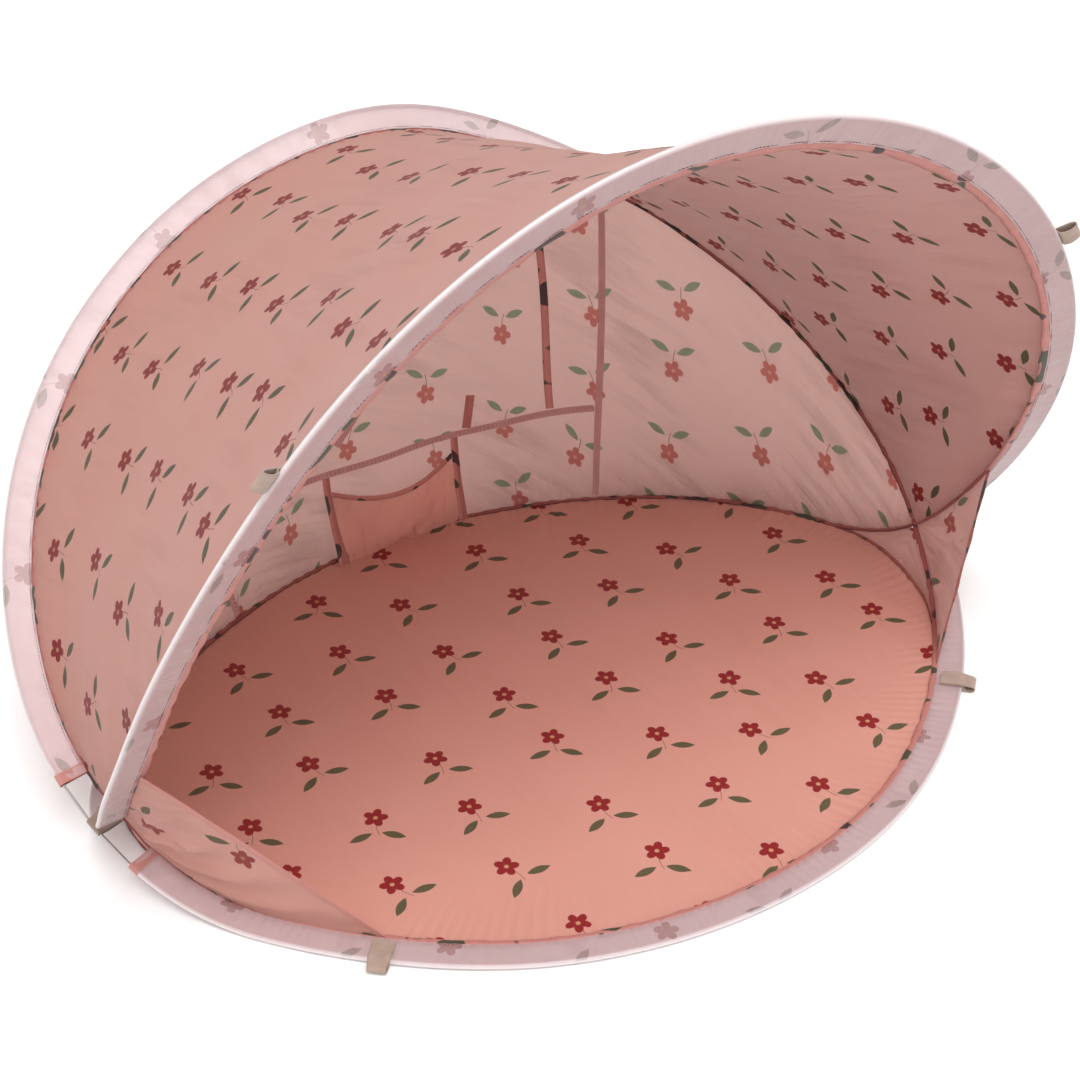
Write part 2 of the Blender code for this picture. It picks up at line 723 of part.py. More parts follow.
def make_straps(maker, face):
    """The tie that hangs from the rear arch, a folded stub and a short strap beside the pocket."""
    above_tape = LOW_TAPE_HEIGHT + TAPE_WIDTH / 2 + STRAP_EASE
    tie_foot = (TIE_FOOT_SPAN, above_tape)
    tie_top = (TIE_TOP_SPAN, face.edge_height(face.upper, TIE_TOP_SPAN) - TIE_WIDTH / 2)
    lay_strap(maker, face, "tie_strap", tie_foot, tie_top, TIE_WIDTH, TAPE_CLOTH, "piping_cloth")
    stub_foot = (STUB_FOOT_SPAN, above_tape)
    stub_top = (STUB_TOP_SPAN, above_tape + STUB_LENGTH)
    lay_strap(maker, face, "tie_stub", stub_foot, stub_top, STUB_WIDTH, STUB_CLOTH, "piping_cloth")
    short_foot = (-SHORT_STRAP_FOOT_SPAN, SHORT_STRAP_FOOT_HEIGHT)
    short_top = (-SHORT_STRAP_TOP_SPAN, SHORT_STRAP_TOP_HEIGHT)
    lay_strap(maker, face, "short_strap", short_foot, short_top, TIE_WIDTH, TAPE_CLOTH, "piping_cloth")


def pocket_lift(across_share, up_share):
    """How far the pocket stands off the wall: most at the left of its foot and in the middle of its rim."""
    foot = POCKET_FOOT_EASE + POCKET_FOOT_REACH * (1 - across_share)
    swell = 4 * across_share * (1 - across_share) * POCKET_SWELL
    return foot * (1 - up_share) + swell * up_share


def make_pocket(maker, face):
    floor_top = FLOOR_CLOTH + 2 * GAP + PANEL_CLOTH / 2
    left = -POCKET_LEFT_SPAN + BINDING_WIDTH + POCKET_EDGE_EASE
    right = POCKET_RIGHT_SPAN - BINDING_WIDTH - POCKET_EDGE_EASE
    base_lift = GAP + PANEL_CLOTH / 2

    def place(across_share, up_share, drop):
        """A point of the pocket's front, a distance below the rim where up_share is one."""
        span = left + (right - left) * across_share
        rim = POCKET_DEPTH - 4 * across_share * (1 - across_share) * POCKET_SAG - drop
        height = floor_top + (rim - floor_top) * up_share
        return face.lifted(span, height, base_lift + pocket_lift(across_share, up_share))

    columns = np.linspace(0, 1, POCKET_STEPS + 1)
    sewn_height = POCKET_FOOT_EASE + floor_top
    sewn = [face.lifted(left + (right - left) * share, sewn_height, base_lift) for share in columns]
    rows = [sewn]
    for up_share in np.linspace(0, 1, POCKET_RISE_STEPS + 1):
        rows.append([place(share, up_share, RIM_WIDTH + 2 * GAP) for share in columns])
    maker.sheet("pocket_front", rows, PANEL_CLOTH, "canopy_cloth", "rear_arch")
    rim = [[place(share, 1, drop) for share in columns] for drop in (RIM_WIDTH, 0)]
    maker.sheet("pocket_rim", rim, PANEL_CLOTH, "piping_cloth", "rear_arch")
    top = LOW_TAPE_HEIGHT - TAPE_WIDTH / 2 - 2 * GAP
    edges = (
        ("left", 0, -POCKET_LEFT_SPAN),
        ("right", 1, POCKET_RIGHT_SPAN - BINDING_WIDTH),
    )
    for label, across_share, start in edges:
        rows = []
        for span in (start, start + BINDING_WIDTH):
            heights = np.linspace(floor_top, top, BINDING_STEPS + 1)
            up_shares = np.minimum((heights - floor_top) / (POCKET_DEPTH - floor_top), 1)
            lifts = [base_lift + pocket_lift(across_share, up_share) for up_share in up_shares]
            rows.append([face.lifted(span, height, lift) for height, lift in zip(heights, lifts)])
        maker.sheet(f"pocket_binding_{label}", rows, TAPE_CLOTH, "piping_cloth", "rear_arch")


def main():
    clear_scene()
    maker = Maker()
    maker.body("root", (0, 0, 0))
    maker.body("back_edge", HINGE_POINT, "root")
    maker.body("rear_arch", HINGE_POINT, "back_edge")
    maker.body("front_arch", HINGE_POINT, "rear_arch")
    wires, seams = ring_curves()
    make_frame(maker, wires)
    make_ferrules(maker, wires)
    make_pipings(maker, seams)
    canopy = panel_rows(
        seams["front_arch"], seams["rear_arch"], CANOPY_STEPS, CANOPY_CROSS_STEPS, CANOPY_WAIST, HINGE_POINT
    )
    maker.sheet("canopy", canopy, PANEL_CLOTH, "canopy_cloth", "front_arch")
    wall_rows = panel_rows(
        seams["rear_arch"], seams["back_floor"], WALL_STEPS, WALL_CROSS_STEPS, WALL_WAIST, HINGE_POINT
    )
    wall = maker.sheet("back_wall", wall_rows, PANEL_CLOTH, "wall_cloth", "rear_arch")
    make_floor(maker, seams)
    make_side_walls(maker, seams)
    make_corner_webs(maker, seams)
    make_loops(maker, wires)
    make_crossing_straps(maker, wires)
    face = WallFace(wall, wall_rows)
    make_tapes(maker, face)
    make_straps(maker, face)
    make_pocket(maker, face)


main()
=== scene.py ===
"""Looks of the pop-up beach tent: its cloth, seams, tapes, webbing and wire, in a pale studio.

Sizes are in metres. The tent stands on the ground at z = 0 with its open front towards -Y. Two closed
rings of spring wire cross low down at the left and the right; half of each lies on the ground and half
stands up as an arch. Every cloth is drawn as a grid of points on its cut shape, puckered and creased,
and given its thickness as a closed shell.
"""

from __future__ import annotations

import json
import logging
import math
from dataclasses import dataclass, field, replace
from enum import Enum

import bpy
import numpy as np
from mathutils import Vector
from mathutils.bvhtree import BVHTree
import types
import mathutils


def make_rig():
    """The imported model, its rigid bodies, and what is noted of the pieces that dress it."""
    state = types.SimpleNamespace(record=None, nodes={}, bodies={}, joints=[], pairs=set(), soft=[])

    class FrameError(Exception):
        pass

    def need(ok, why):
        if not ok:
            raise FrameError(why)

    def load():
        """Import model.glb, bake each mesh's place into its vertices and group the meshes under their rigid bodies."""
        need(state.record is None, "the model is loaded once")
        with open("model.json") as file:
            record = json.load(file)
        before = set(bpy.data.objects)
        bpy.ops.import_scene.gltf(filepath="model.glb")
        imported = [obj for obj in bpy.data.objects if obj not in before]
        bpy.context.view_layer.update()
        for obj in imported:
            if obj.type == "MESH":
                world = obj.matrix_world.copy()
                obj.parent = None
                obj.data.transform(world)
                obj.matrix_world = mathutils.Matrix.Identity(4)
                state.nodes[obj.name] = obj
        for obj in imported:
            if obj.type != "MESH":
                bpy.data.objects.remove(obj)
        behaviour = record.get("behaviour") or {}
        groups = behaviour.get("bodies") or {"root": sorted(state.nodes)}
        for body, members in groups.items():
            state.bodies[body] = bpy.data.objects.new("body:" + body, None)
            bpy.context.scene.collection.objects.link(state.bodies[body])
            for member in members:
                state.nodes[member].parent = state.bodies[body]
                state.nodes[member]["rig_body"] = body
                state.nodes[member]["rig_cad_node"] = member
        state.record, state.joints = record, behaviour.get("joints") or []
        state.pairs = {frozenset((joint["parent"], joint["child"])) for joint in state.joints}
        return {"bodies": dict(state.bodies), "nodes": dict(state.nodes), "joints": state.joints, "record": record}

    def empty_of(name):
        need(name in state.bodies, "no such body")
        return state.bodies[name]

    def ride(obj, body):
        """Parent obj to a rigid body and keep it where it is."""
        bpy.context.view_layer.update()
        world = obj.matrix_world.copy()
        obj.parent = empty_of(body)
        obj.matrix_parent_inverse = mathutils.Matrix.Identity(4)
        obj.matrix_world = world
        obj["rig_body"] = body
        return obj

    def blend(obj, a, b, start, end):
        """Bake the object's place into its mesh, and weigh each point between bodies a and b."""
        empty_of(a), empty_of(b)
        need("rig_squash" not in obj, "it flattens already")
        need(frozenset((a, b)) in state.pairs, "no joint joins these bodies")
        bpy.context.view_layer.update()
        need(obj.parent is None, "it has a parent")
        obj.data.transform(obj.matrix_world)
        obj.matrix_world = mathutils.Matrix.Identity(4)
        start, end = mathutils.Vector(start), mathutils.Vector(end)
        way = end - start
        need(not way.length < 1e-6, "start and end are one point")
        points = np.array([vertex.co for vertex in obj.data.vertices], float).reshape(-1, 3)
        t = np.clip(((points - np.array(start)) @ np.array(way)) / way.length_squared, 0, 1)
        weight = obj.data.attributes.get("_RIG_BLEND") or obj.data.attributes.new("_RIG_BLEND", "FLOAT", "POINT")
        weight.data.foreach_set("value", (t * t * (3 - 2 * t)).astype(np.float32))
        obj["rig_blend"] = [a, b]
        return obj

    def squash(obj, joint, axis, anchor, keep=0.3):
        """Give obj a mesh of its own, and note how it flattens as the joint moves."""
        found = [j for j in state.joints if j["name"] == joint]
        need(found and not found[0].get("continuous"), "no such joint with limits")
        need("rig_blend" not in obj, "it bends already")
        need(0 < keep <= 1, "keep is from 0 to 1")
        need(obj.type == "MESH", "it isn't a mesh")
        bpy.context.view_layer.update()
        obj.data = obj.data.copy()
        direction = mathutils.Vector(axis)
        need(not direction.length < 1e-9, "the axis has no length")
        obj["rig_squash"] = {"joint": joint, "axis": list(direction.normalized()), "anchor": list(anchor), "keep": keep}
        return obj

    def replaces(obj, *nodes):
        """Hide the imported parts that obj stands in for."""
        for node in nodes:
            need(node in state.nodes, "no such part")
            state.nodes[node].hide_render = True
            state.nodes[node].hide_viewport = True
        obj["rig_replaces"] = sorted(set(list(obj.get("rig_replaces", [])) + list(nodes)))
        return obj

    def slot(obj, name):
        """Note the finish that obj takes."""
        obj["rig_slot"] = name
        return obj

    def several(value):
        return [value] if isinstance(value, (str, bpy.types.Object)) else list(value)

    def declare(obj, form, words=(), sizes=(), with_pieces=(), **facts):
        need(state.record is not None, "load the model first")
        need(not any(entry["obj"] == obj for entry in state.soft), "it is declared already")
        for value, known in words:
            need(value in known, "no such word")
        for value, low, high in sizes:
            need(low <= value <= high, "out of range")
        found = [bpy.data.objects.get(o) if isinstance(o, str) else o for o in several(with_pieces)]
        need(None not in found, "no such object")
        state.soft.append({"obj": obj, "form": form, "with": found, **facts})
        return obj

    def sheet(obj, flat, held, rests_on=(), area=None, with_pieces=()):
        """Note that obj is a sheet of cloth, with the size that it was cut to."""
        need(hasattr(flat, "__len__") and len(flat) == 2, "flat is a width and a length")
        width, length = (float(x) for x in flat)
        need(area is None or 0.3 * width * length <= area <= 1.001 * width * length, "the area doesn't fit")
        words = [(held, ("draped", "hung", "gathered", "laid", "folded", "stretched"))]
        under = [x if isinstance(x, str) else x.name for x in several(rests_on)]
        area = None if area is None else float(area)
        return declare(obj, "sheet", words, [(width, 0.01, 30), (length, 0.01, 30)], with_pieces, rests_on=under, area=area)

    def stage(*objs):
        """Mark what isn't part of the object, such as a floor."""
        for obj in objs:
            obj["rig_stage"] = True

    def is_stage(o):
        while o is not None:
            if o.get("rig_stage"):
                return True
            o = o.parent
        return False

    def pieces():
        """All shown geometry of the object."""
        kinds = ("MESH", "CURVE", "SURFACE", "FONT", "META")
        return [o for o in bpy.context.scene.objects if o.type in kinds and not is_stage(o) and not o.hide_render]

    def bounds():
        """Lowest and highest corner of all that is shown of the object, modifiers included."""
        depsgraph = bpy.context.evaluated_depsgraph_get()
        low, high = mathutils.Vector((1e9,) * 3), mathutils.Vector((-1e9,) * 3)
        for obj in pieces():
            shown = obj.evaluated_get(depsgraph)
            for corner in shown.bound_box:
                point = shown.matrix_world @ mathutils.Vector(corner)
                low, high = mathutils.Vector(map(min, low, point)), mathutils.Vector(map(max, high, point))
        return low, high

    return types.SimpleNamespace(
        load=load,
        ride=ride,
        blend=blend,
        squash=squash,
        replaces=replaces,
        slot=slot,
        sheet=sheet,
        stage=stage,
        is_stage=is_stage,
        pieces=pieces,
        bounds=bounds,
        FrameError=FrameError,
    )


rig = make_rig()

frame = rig.load()
CAD_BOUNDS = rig.bounds()

log = logging.getLogger("beach_tent")

# Places of the two colours and of the mixed colour among the mix node's sockets
MIX_FIRST, MIX_SECOND, MIX_RESULT = 6, 7, 2

Points = np.ndarray
Socket = bpy.types.NodeSocket
Object = bpy.types.Object

CROSSING_PIVOT = (0.0, -0.025, 0.063)
LEAST_LENGTH = 1e-12
LEAST_SQUARENESS = 0.2
SHARP_ANGLE = math.radians(60.0)
WAVE_SCALE = math.pi / 10

AREA_STEPS = 10000
LEAST_AREA_STEPS = 3001


# Names shared by the pieces


class Body(Enum):
    """The bodies that the tent's pieces ride on."""

    ROOT = "root"
    BACK_EDGE = "back_edge"
    REAR_ARCH = "rear_arch"
    FRONT_ARCH = "front_arch"


class Side(Enum):
    """The tent's two sides, as seen from its open front."""

    LEFT = -1
    RIGHT = 1

    @property
    def label(self) -> str:
        """The side's name in piece names."""
        return self.name.lower()


@dataclass(frozen=True)
class BendZone:
    """Where a cloth turns from following one body to following the next.

    The zone is a slab whose middle plane holds the fold's axis.
    """

    first: Body
    second: Body
    tilt: float
    reach: float
    pivot: tuple[float, float, float] = CROSSING_PIVOT

    def apply(self, piece: Object) -> None:
        """Makes a finished piece bend in this zone.

        Args:
            piece: The finished mesh object.
        """
        way = Vector((0.0, math.cos(self.tilt), math.sin(self.tilt))) * self.reach
        middle = Vector(self.pivot)
        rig.blend(piece, self.first.value, self.second.value, start=middle - way, end=middle + way)


FLOOR_BEND = BendZone(Body.ROOT, Body.BACK_EDGE, tilt=0.0, reach=0.03)
WALL_BEND = BendZone(Body.BACK_EDGE, Body.REAR_ARCH, tilt=math.radians(109.0), reach=0.10)
CANOPY_BEND = BendZone(Body.REAR_ARCH, Body.FRONT_ARCH, tilt=math.radians(191.0), reach=0.12)


# Curves


def unit(vectors: Points) -> Points:
    """Vectors of length one along the same directions."""
    vectors = np.asarray(vectors, float)
    return vectors / np.maximum(np.linalg.norm(vectors, axis=-1, keepdims=True), LEAST_LENGTH)


def lengths_along(points: Points) -> Points:
    """The length along a line of points, at each of them."""
    return np.concatenate([[0.0], np.cumsum(np.linalg.norm(np.diff(points, axis=0), axis=1))])


def read_along(values: Points, points: Points, wanted: Points) -> Points:
    """Values given at a line's points, read at other lengths along it.

    Args:
        values: One row of numbers for each of the line's points.
        points: The line's points.
        wanted: Lengths along the line.

    Returns:
        One row for each wanted length.
    """
    along = lengths_along(points)
    return np.stack([np.interp(wanted, along, values[:, axis]) for axis in range(values.shape[1])], axis=1)


def at_lengths(points: Points, wanted: Points) -> Points:
    """The points of a line at the wanted lengths along it."""
    return read_along(points, points, wanted)


def closed_spline(points: Points, steps: int) -> Points:
    """A closed curve through the points, smooth to its second derivative.

    Args:
        points: The places that it passes.
        steps: How many points it gets between two places.

    Returns:
        The curve's points.
    """
    count = len(points)
    ahead = np.roll(points, -1, axis=0)
    spans = np.linalg.norm(ahead - points, axis=1)
    behind = np.roll(spans, 1)
    rise = (ahead - points) / spans[:, None]
    system = np.zeros((count, count))
    for i in range(count):
        system[i, (i - 1) % count] += behind[i]
        system[i, i] += 2 * (behind[i] + spans[i])
        system[i, (i + 1) % count] += spans[i]
    bend = np.linalg.solve(system, 6 * (rise - np.roll(rise, 1, axis=0)))
    late = np.linspace(0, 1, steps, endpoint=False)[None, :, None]
    early = 1 - late
    pull = (spans[:, None, None] ** 2) / 6
    curve = early * points[:, None] + late * ahead[:, None]
    curve = curve + pull * ((early**3 - early) * bend[:, None])
    curve = curve + pull * ((late**3 - late) * np.roll(bend, -1, axis=0)[:, None])
    return curve.reshape(-1, 3)


@dataclass(frozen=True)
class HalfRing:
    """Half of a wire ring, from the left crossing to the right one."""

    name: str
    body: Body
    wire: Points
    inward: Points
    sleeve_width: float

    @property
    def length(self) -> float:
        """The wire's length between the crossings."""
        return float(lengths_along(self.wire)[-1])

    @property
    def seam(self) -> Points:
        """The line of the sleeve's seam."""
        return self.wire + self.sleeve_width * self.inward

    def axes_at(self, wanted: Points) -> tuple[Points, Points, Points, Points]:
        """The wire's centre and its directions at lengths along it.

        Args:
            wanted: Lengths from the left crossing.

        Returns:
            The centres, and the unit directions along, inward and across.
        """
        centres = at_lengths(self.wire, wanted)
        inward = unit(read_along(self.inward, self.wire, wanted))
        along = unit(read_along(np.gradient(self.wire, axis=0), self.wire, wanted))
        return centres, along, inward, unit(np.cross(along, inward))

    def seen_from(self, side: Side) -> HalfRing:
        """The same half ring, measured from the crossing on that side.

        Args:
            side: The side whose crossing it starts from.

        Returns:
            The half ring.
        """
        if side is Side.LEFT:
            return self
        return replace(self, wire=self.wire[::-1], inward=self.inward[::-1])


@dataclass(frozen=True)
class WireRings:
    """The two crossing rings of spring wire, the lines that everything else is sewn to."""

    cross_half_span: float = 0.600
    cross_height: float = 0.063
    cross_forward: float = 0.025
    front_floor_reach: float = 0.464
    back_floor_reach: float = 0.417
    front_arch_reach: float = 0.339
    front_arch_height: float = 0.888
    rear_arch_reach: float = 0.480
    rear_arch_height: float = 0.597
    ground_height: float = 0.00415
    wire_side_step: float = 0.0019
    sleeve_width: float = 0.032
    dense_steps: int = 40
    front_floor_shares: tuple = (
        (0.0, 1.0, 0.0), (0.43, 0.872, 0.0), (0.71, 0.606, 0.0), (0.90, 0.30, 0.13),
    )
    back_floor_shares: tuple = (
        (0.0, 1.0, 0.0), (0.507, 0.837, 0.0), (0.83, 0.502, 0.0), (0.957, 0.217, 0.12),
    )
    rear_arch_shares: tuple = (
        (0.0, 1.0, 1.0), (0.337, 1.045, 0.885), (0.545, 1.006, 0.76), (0.757, 0.871, 0.60),
        (0.925, 0.657, 0.414), (1.017, 0.398, 0.228), (1.03, 0.139, 0.071),
    )
    front_arch_shares: tuple = (
        (0.0, 1.0, 1.0), (0.287, 0.994, 0.966), (0.543, 0.971, 0.870), (0.75, 0.914, 0.726),
        (0.895, 0.806, 0.556), (0.98, 0.64, 0.383), (1.013, 0.439, 0.227), (1.017, 0.229, 0.102),
    )

    def places(self, shares: tuple, reach: float, rise: float, base: float) -> list[tuple]:
        """Right-hand places of a half ring, from its middle to just before the crossing.

        Args:
            shares: Across, forward and up, as shares of the sizes.
            reach: How far the half reaches behind the crossings, or before them if negative.
            rise: The height of a share of one above the base.
            base: The lowest height.

        Returns:
            The places.
        """
        return [
            (across * self.cross_half_span, -self.cross_forward + out * reach, base + up * rise)
            for across, out, up in shares
        ]

    def ring(self, floor: list[tuple], arch: list[tuple], cross_x: float) -> tuple[Points, Points]:
        """The floor half and the arch half of a ring.

        Args:
            floor: Right-hand places of the half on the ground.
            arch: Right-hand places of the half that stands.
            cross_x: How far out the ring passes the crossing.

        Returns:
            The two halves, each from left to right.
        """
        crossing = (cross_x, -self.cross_forward, self.cross_height)
        right = [*floor, crossing, *reversed(arch)]
        left = [(-x, y, z) for x, y, z in reversed(right[1:-1])]
        curve = closed_spline(np.array(right + left), self.dense_steps)
        curve[:, 2] = np.maximum(curve[:, 2], self.ground_height)
        right_cross = len(floor) * self.dense_steps
        left_cross = len(curve) - right_cross
        arch_half = curve[right_cross : left_cross + 1][::-1]
        return np.concatenate([curve[left_cross:], curve[: right_cross + 1]]), arch_half

    def half(self, name: str, body: Body, wire: Points) -> HalfRing:
        """A half ring with the directions in which its sleeve lies.

        Args:
            name: Its name.
            body: The body that it rides on.
            wire: Its points.

        Returns:
            The half ring.
        """
        height = np.minimum(wire[:, 2], self.cross_height)
        middle = np.stack([0 * height, 0 * height - self.cross_forward, height], axis=1)
        along = unit(np.gradient(wire, axis=0))
        inward = middle - wire
        inward -= np.sum(inward * along, axis=1, keepdims=True) * along
        return HalfRing(name, body, wire, unit(inward), self.sleeve_width)

    def build(self) -> dict[str, HalfRing]:
        """All four half rings, by name.

        Returns:
            The half rings, each under its name.
        """
        floor_rise = self.cross_height - self.ground_height
        front_floor = self.places(
            self.front_floor_shares,
            self.cross_forward - self.front_floor_reach,
            floor_rise,
            self.ground_height,
        )
        back_floor = self.places(
            self.back_floor_shares,
            self.cross_forward + self.back_floor_reach,
            floor_rise,
            self.ground_height,
        )
        rear_arch = self.places(
            self.rear_arch_shares,
            self.cross_forward + self.rear_arch_reach,
            self.rear_arch_height - self.cross_height,
            self.cross_height,
        )
        front_arch = self.places(
            self.front_arch_shares,
            self.cross_forward - self.front_arch_reach,
            self.front_arch_height - self.cross_height,
            self.cross_height,
        )
        outer = self.ring(front_floor, rear_arch, self.cross_half_span + self.wire_side_step)
        inner = self.ring(back_floor, front_arch, self.cross_half_span - self.wire_side_step)
        return {
            "front_floor": self.half("front_floor", Body.ROOT, outer[0]),
            "rear_arch": self.half("rear_arch", Body.REAR_ARCH, outer[1]),
            "back_floor": self.half("back_floor", Body.BACK_EDGE, inner[0]),
            "front_arch": self.half("front_arch", Body.FRONT_ARCH, inner[1]),
        }


# Uneven cloth


@dataclass(frozen=True)
class Ripples:
    """Soft uneven waves over a cloth, the same on each run."""

    seed: int
    wave: float
    height: float
    count: int = 6
    paces: tuple[float, float] = (0.65, 1.5)

    def over(self, first: Points, second: Points) -> Points:
        """The waves' height at places on the cloth.

        Args:
            first: Distances along the cloth.
            second: Distances across it.

        Returns:
            Heights, positive and negative.
        """
        dice = np.random.default_rng(self.seed)
        total = np.zeros(np.broadcast(first, second).shape)
        for _ in range(self.count):
            angle = dice.uniform(0, math.pi)
            pace = 2 * math.pi / (self.wave * dice.uniform(*self.paces))
            phase = dice.uniform(0, 2 * math.pi)
            total = total + np.sin(pace * (first * math.cos(angle) + second * math.sin(angle)) + phase)
        return total * self.height / math.sqrt(self.count)


@dataclass(frozen=True)
class Puckers:
    """Small gathers that run square to a seam and fade away from it."""

    seed: int
    pitch: float
    height: float
    reach: float
    knot_pitches: int = 3
    drift: float = 2.4
    strengths: tuple[float, float] = (0.25, 1.0)
    reaches: tuple[float, float] = (0.5, 1.3)
    fade: float = 1.3

    def beside(self, run: Points, away: Points) -> Points:
        """The gathers' height beside a seam.

        Args:
            run: Distances along the seam.
            away: Distances from it.

        Returns:
            Heights, positive and negative.
        """
        dice = np.random.default_rng(self.seed)
        longest = float(np.max(run)) + self.pitch
        knots = np.arange(0.0, longest + 2 * self.knot_pitches * self.pitch, self.knot_pitches * self.pitch)
        drift = np.interp(run, knots, dice.uniform(-self.drift, self.drift, len(knots)))
        strength = np.interp(run, knots, dice.uniform(*self.strengths, len(knots)))
        reach = self.reach * np.interp(run, knots, dice.uniform(*self.reaches, len(knots)))
        wave = np.sin(2 * math.pi * run / self.pitch + drift)
        return self.height * strength * wave * np.exp(-((away / reach) ** self.fade))


@dataclass(frozen=True)
class ClothGrid:
    """A cloth as rows of points, with the place of each point on the flat cut."""

    points: Points
    flat: Points
    ring: bool = False

    def normals(self) -> Points:
        """Unit directions square to the cloth.

        Returns:
            One direction for each point.
        """
        if self.ring:
            wrapped = np.concatenate([self.points[:, -1:], self.points, self.points[:, :1]], axis=1)
            run = np.gradient(wrapped, axis=1)[:, 1:-1]
        else:
            run = np.gradient(self.points, axis=1)
        return unit(np.cross(run, np.gradient(self.points, axis=0)))

    def lifted(self, height: Points) -> ClothGrid:
        """The same cloth pushed out along its normals by a height at each point."""
        return replace(self, points=self.points + self.normals() * np.asarray(height)[..., None])

    def area(self) -> float:
        """The cloth's area on one side.

        Returns:
            The area, rounded.
        """
        first = self.points[1:, :-1] - self.points[:-1, :-1]
        second = self.points[:-1, 1:] - self.points[:-1, :-1]
        return round(float(np.linalg.norm(np.cross(first, second), axis=2).sum()), 4)

    def cut(self) -> dict[str, object]:
        reach = self.flat[..., ::-1].reshape(-1, 2)
        width, length = (reach.max(axis=0) - reach.min(axis=0)).round(3)
        least = math.ceil(LEAST_AREA_STEPS * width * length) / AREA_STEPS
        return {"flat": (float(width), float(length)), "area": max(self.area(), least)}

    def shell(self, name: str, thickness: float) -> Object:
        """A closed shell of the cloth's thickness.

        Args:
            name: The new object's name.
            thickness: The cloth's thickness.

        Returns:
            The object, with its flat places in a UV map.
        """
        rows, columns = self.points.shape[:2]
        normals = self.normals()
        layers = [self.points + normals * thickness / 2, self.points - normals * thickness / 2]
        places = np.concatenate([layer.reshape(-1, 3) for layer in layers])
        index = np.arange(rows * columns).reshape(rows, columns)
        if self.ring:
            index = np.concatenate([index, index[:, :1]], axis=1)
        quads = grid_quads(index)
        back = rows * columns
        faces = [quads, quads[:, ::-1] + back]
        rims = [index[0], index[-1][::-1]]
        if not self.ring:
            rims += [index[::-1, 0], index[:, -1]]
        for rim in rims:
            faces.append(rim_quads(rim, back))
        faces = np.concatenate(faces).tolist()
        return mesh_object(name, places, faces, np.concatenate([self.flat.reshape(-1, 2)] * 2))


def grid_quads(index: Points) -> Points:
    """The corners of each face of a grid of point numbers."""
    corners = [index[:-1, :-1], index[:-1, 1:], index[1:, 1:], index[1:, :-1]]
    return np.stack(corners, axis=-1).reshape(-1, 4)


def rim_quads(rim: Points, back: int) -> Points:
    """The corners of each face that joins a rim to the same rim of the layer behind."""
    return np.stack([rim[1:], rim[:-1], rim[:-1] + back, rim[1:] + back], axis=-1)


def mesh_object(name: str, places: Points, faces: list, flat: Points) -> Object:
    """A smooth, closed mesh object with its flat places in a UV map.

    Args:
        name: The new object's name.
        places: The points.
        faces: The point numbers of each face.
        flat: Each point's place on the flat cut.

    Returns:
        The object, linked to the scene.
    """
    mesh = bpy.data.meshes.new(name)
    mesh.from_pydata(places.tolist(), [], faces)
    layer = mesh.uv_layers.new(name="flat")
    order = np.zeros(len(mesh.loops), int)
    mesh.loops.foreach_get("vertex_index", order)
    layer.data.foreach_set("uv", flat[order].astype(np.float32).ravel())
    mesh.shade_smooth()
    mesh.set_sharp_from_angle(angle=SHARP_ANGLE)
    face_out(mesh)
    piece = bpy.data.objects.new(name, mesh)
    bpy.context.scene.collection.objects.link(piece)
    return piece


# Finishes


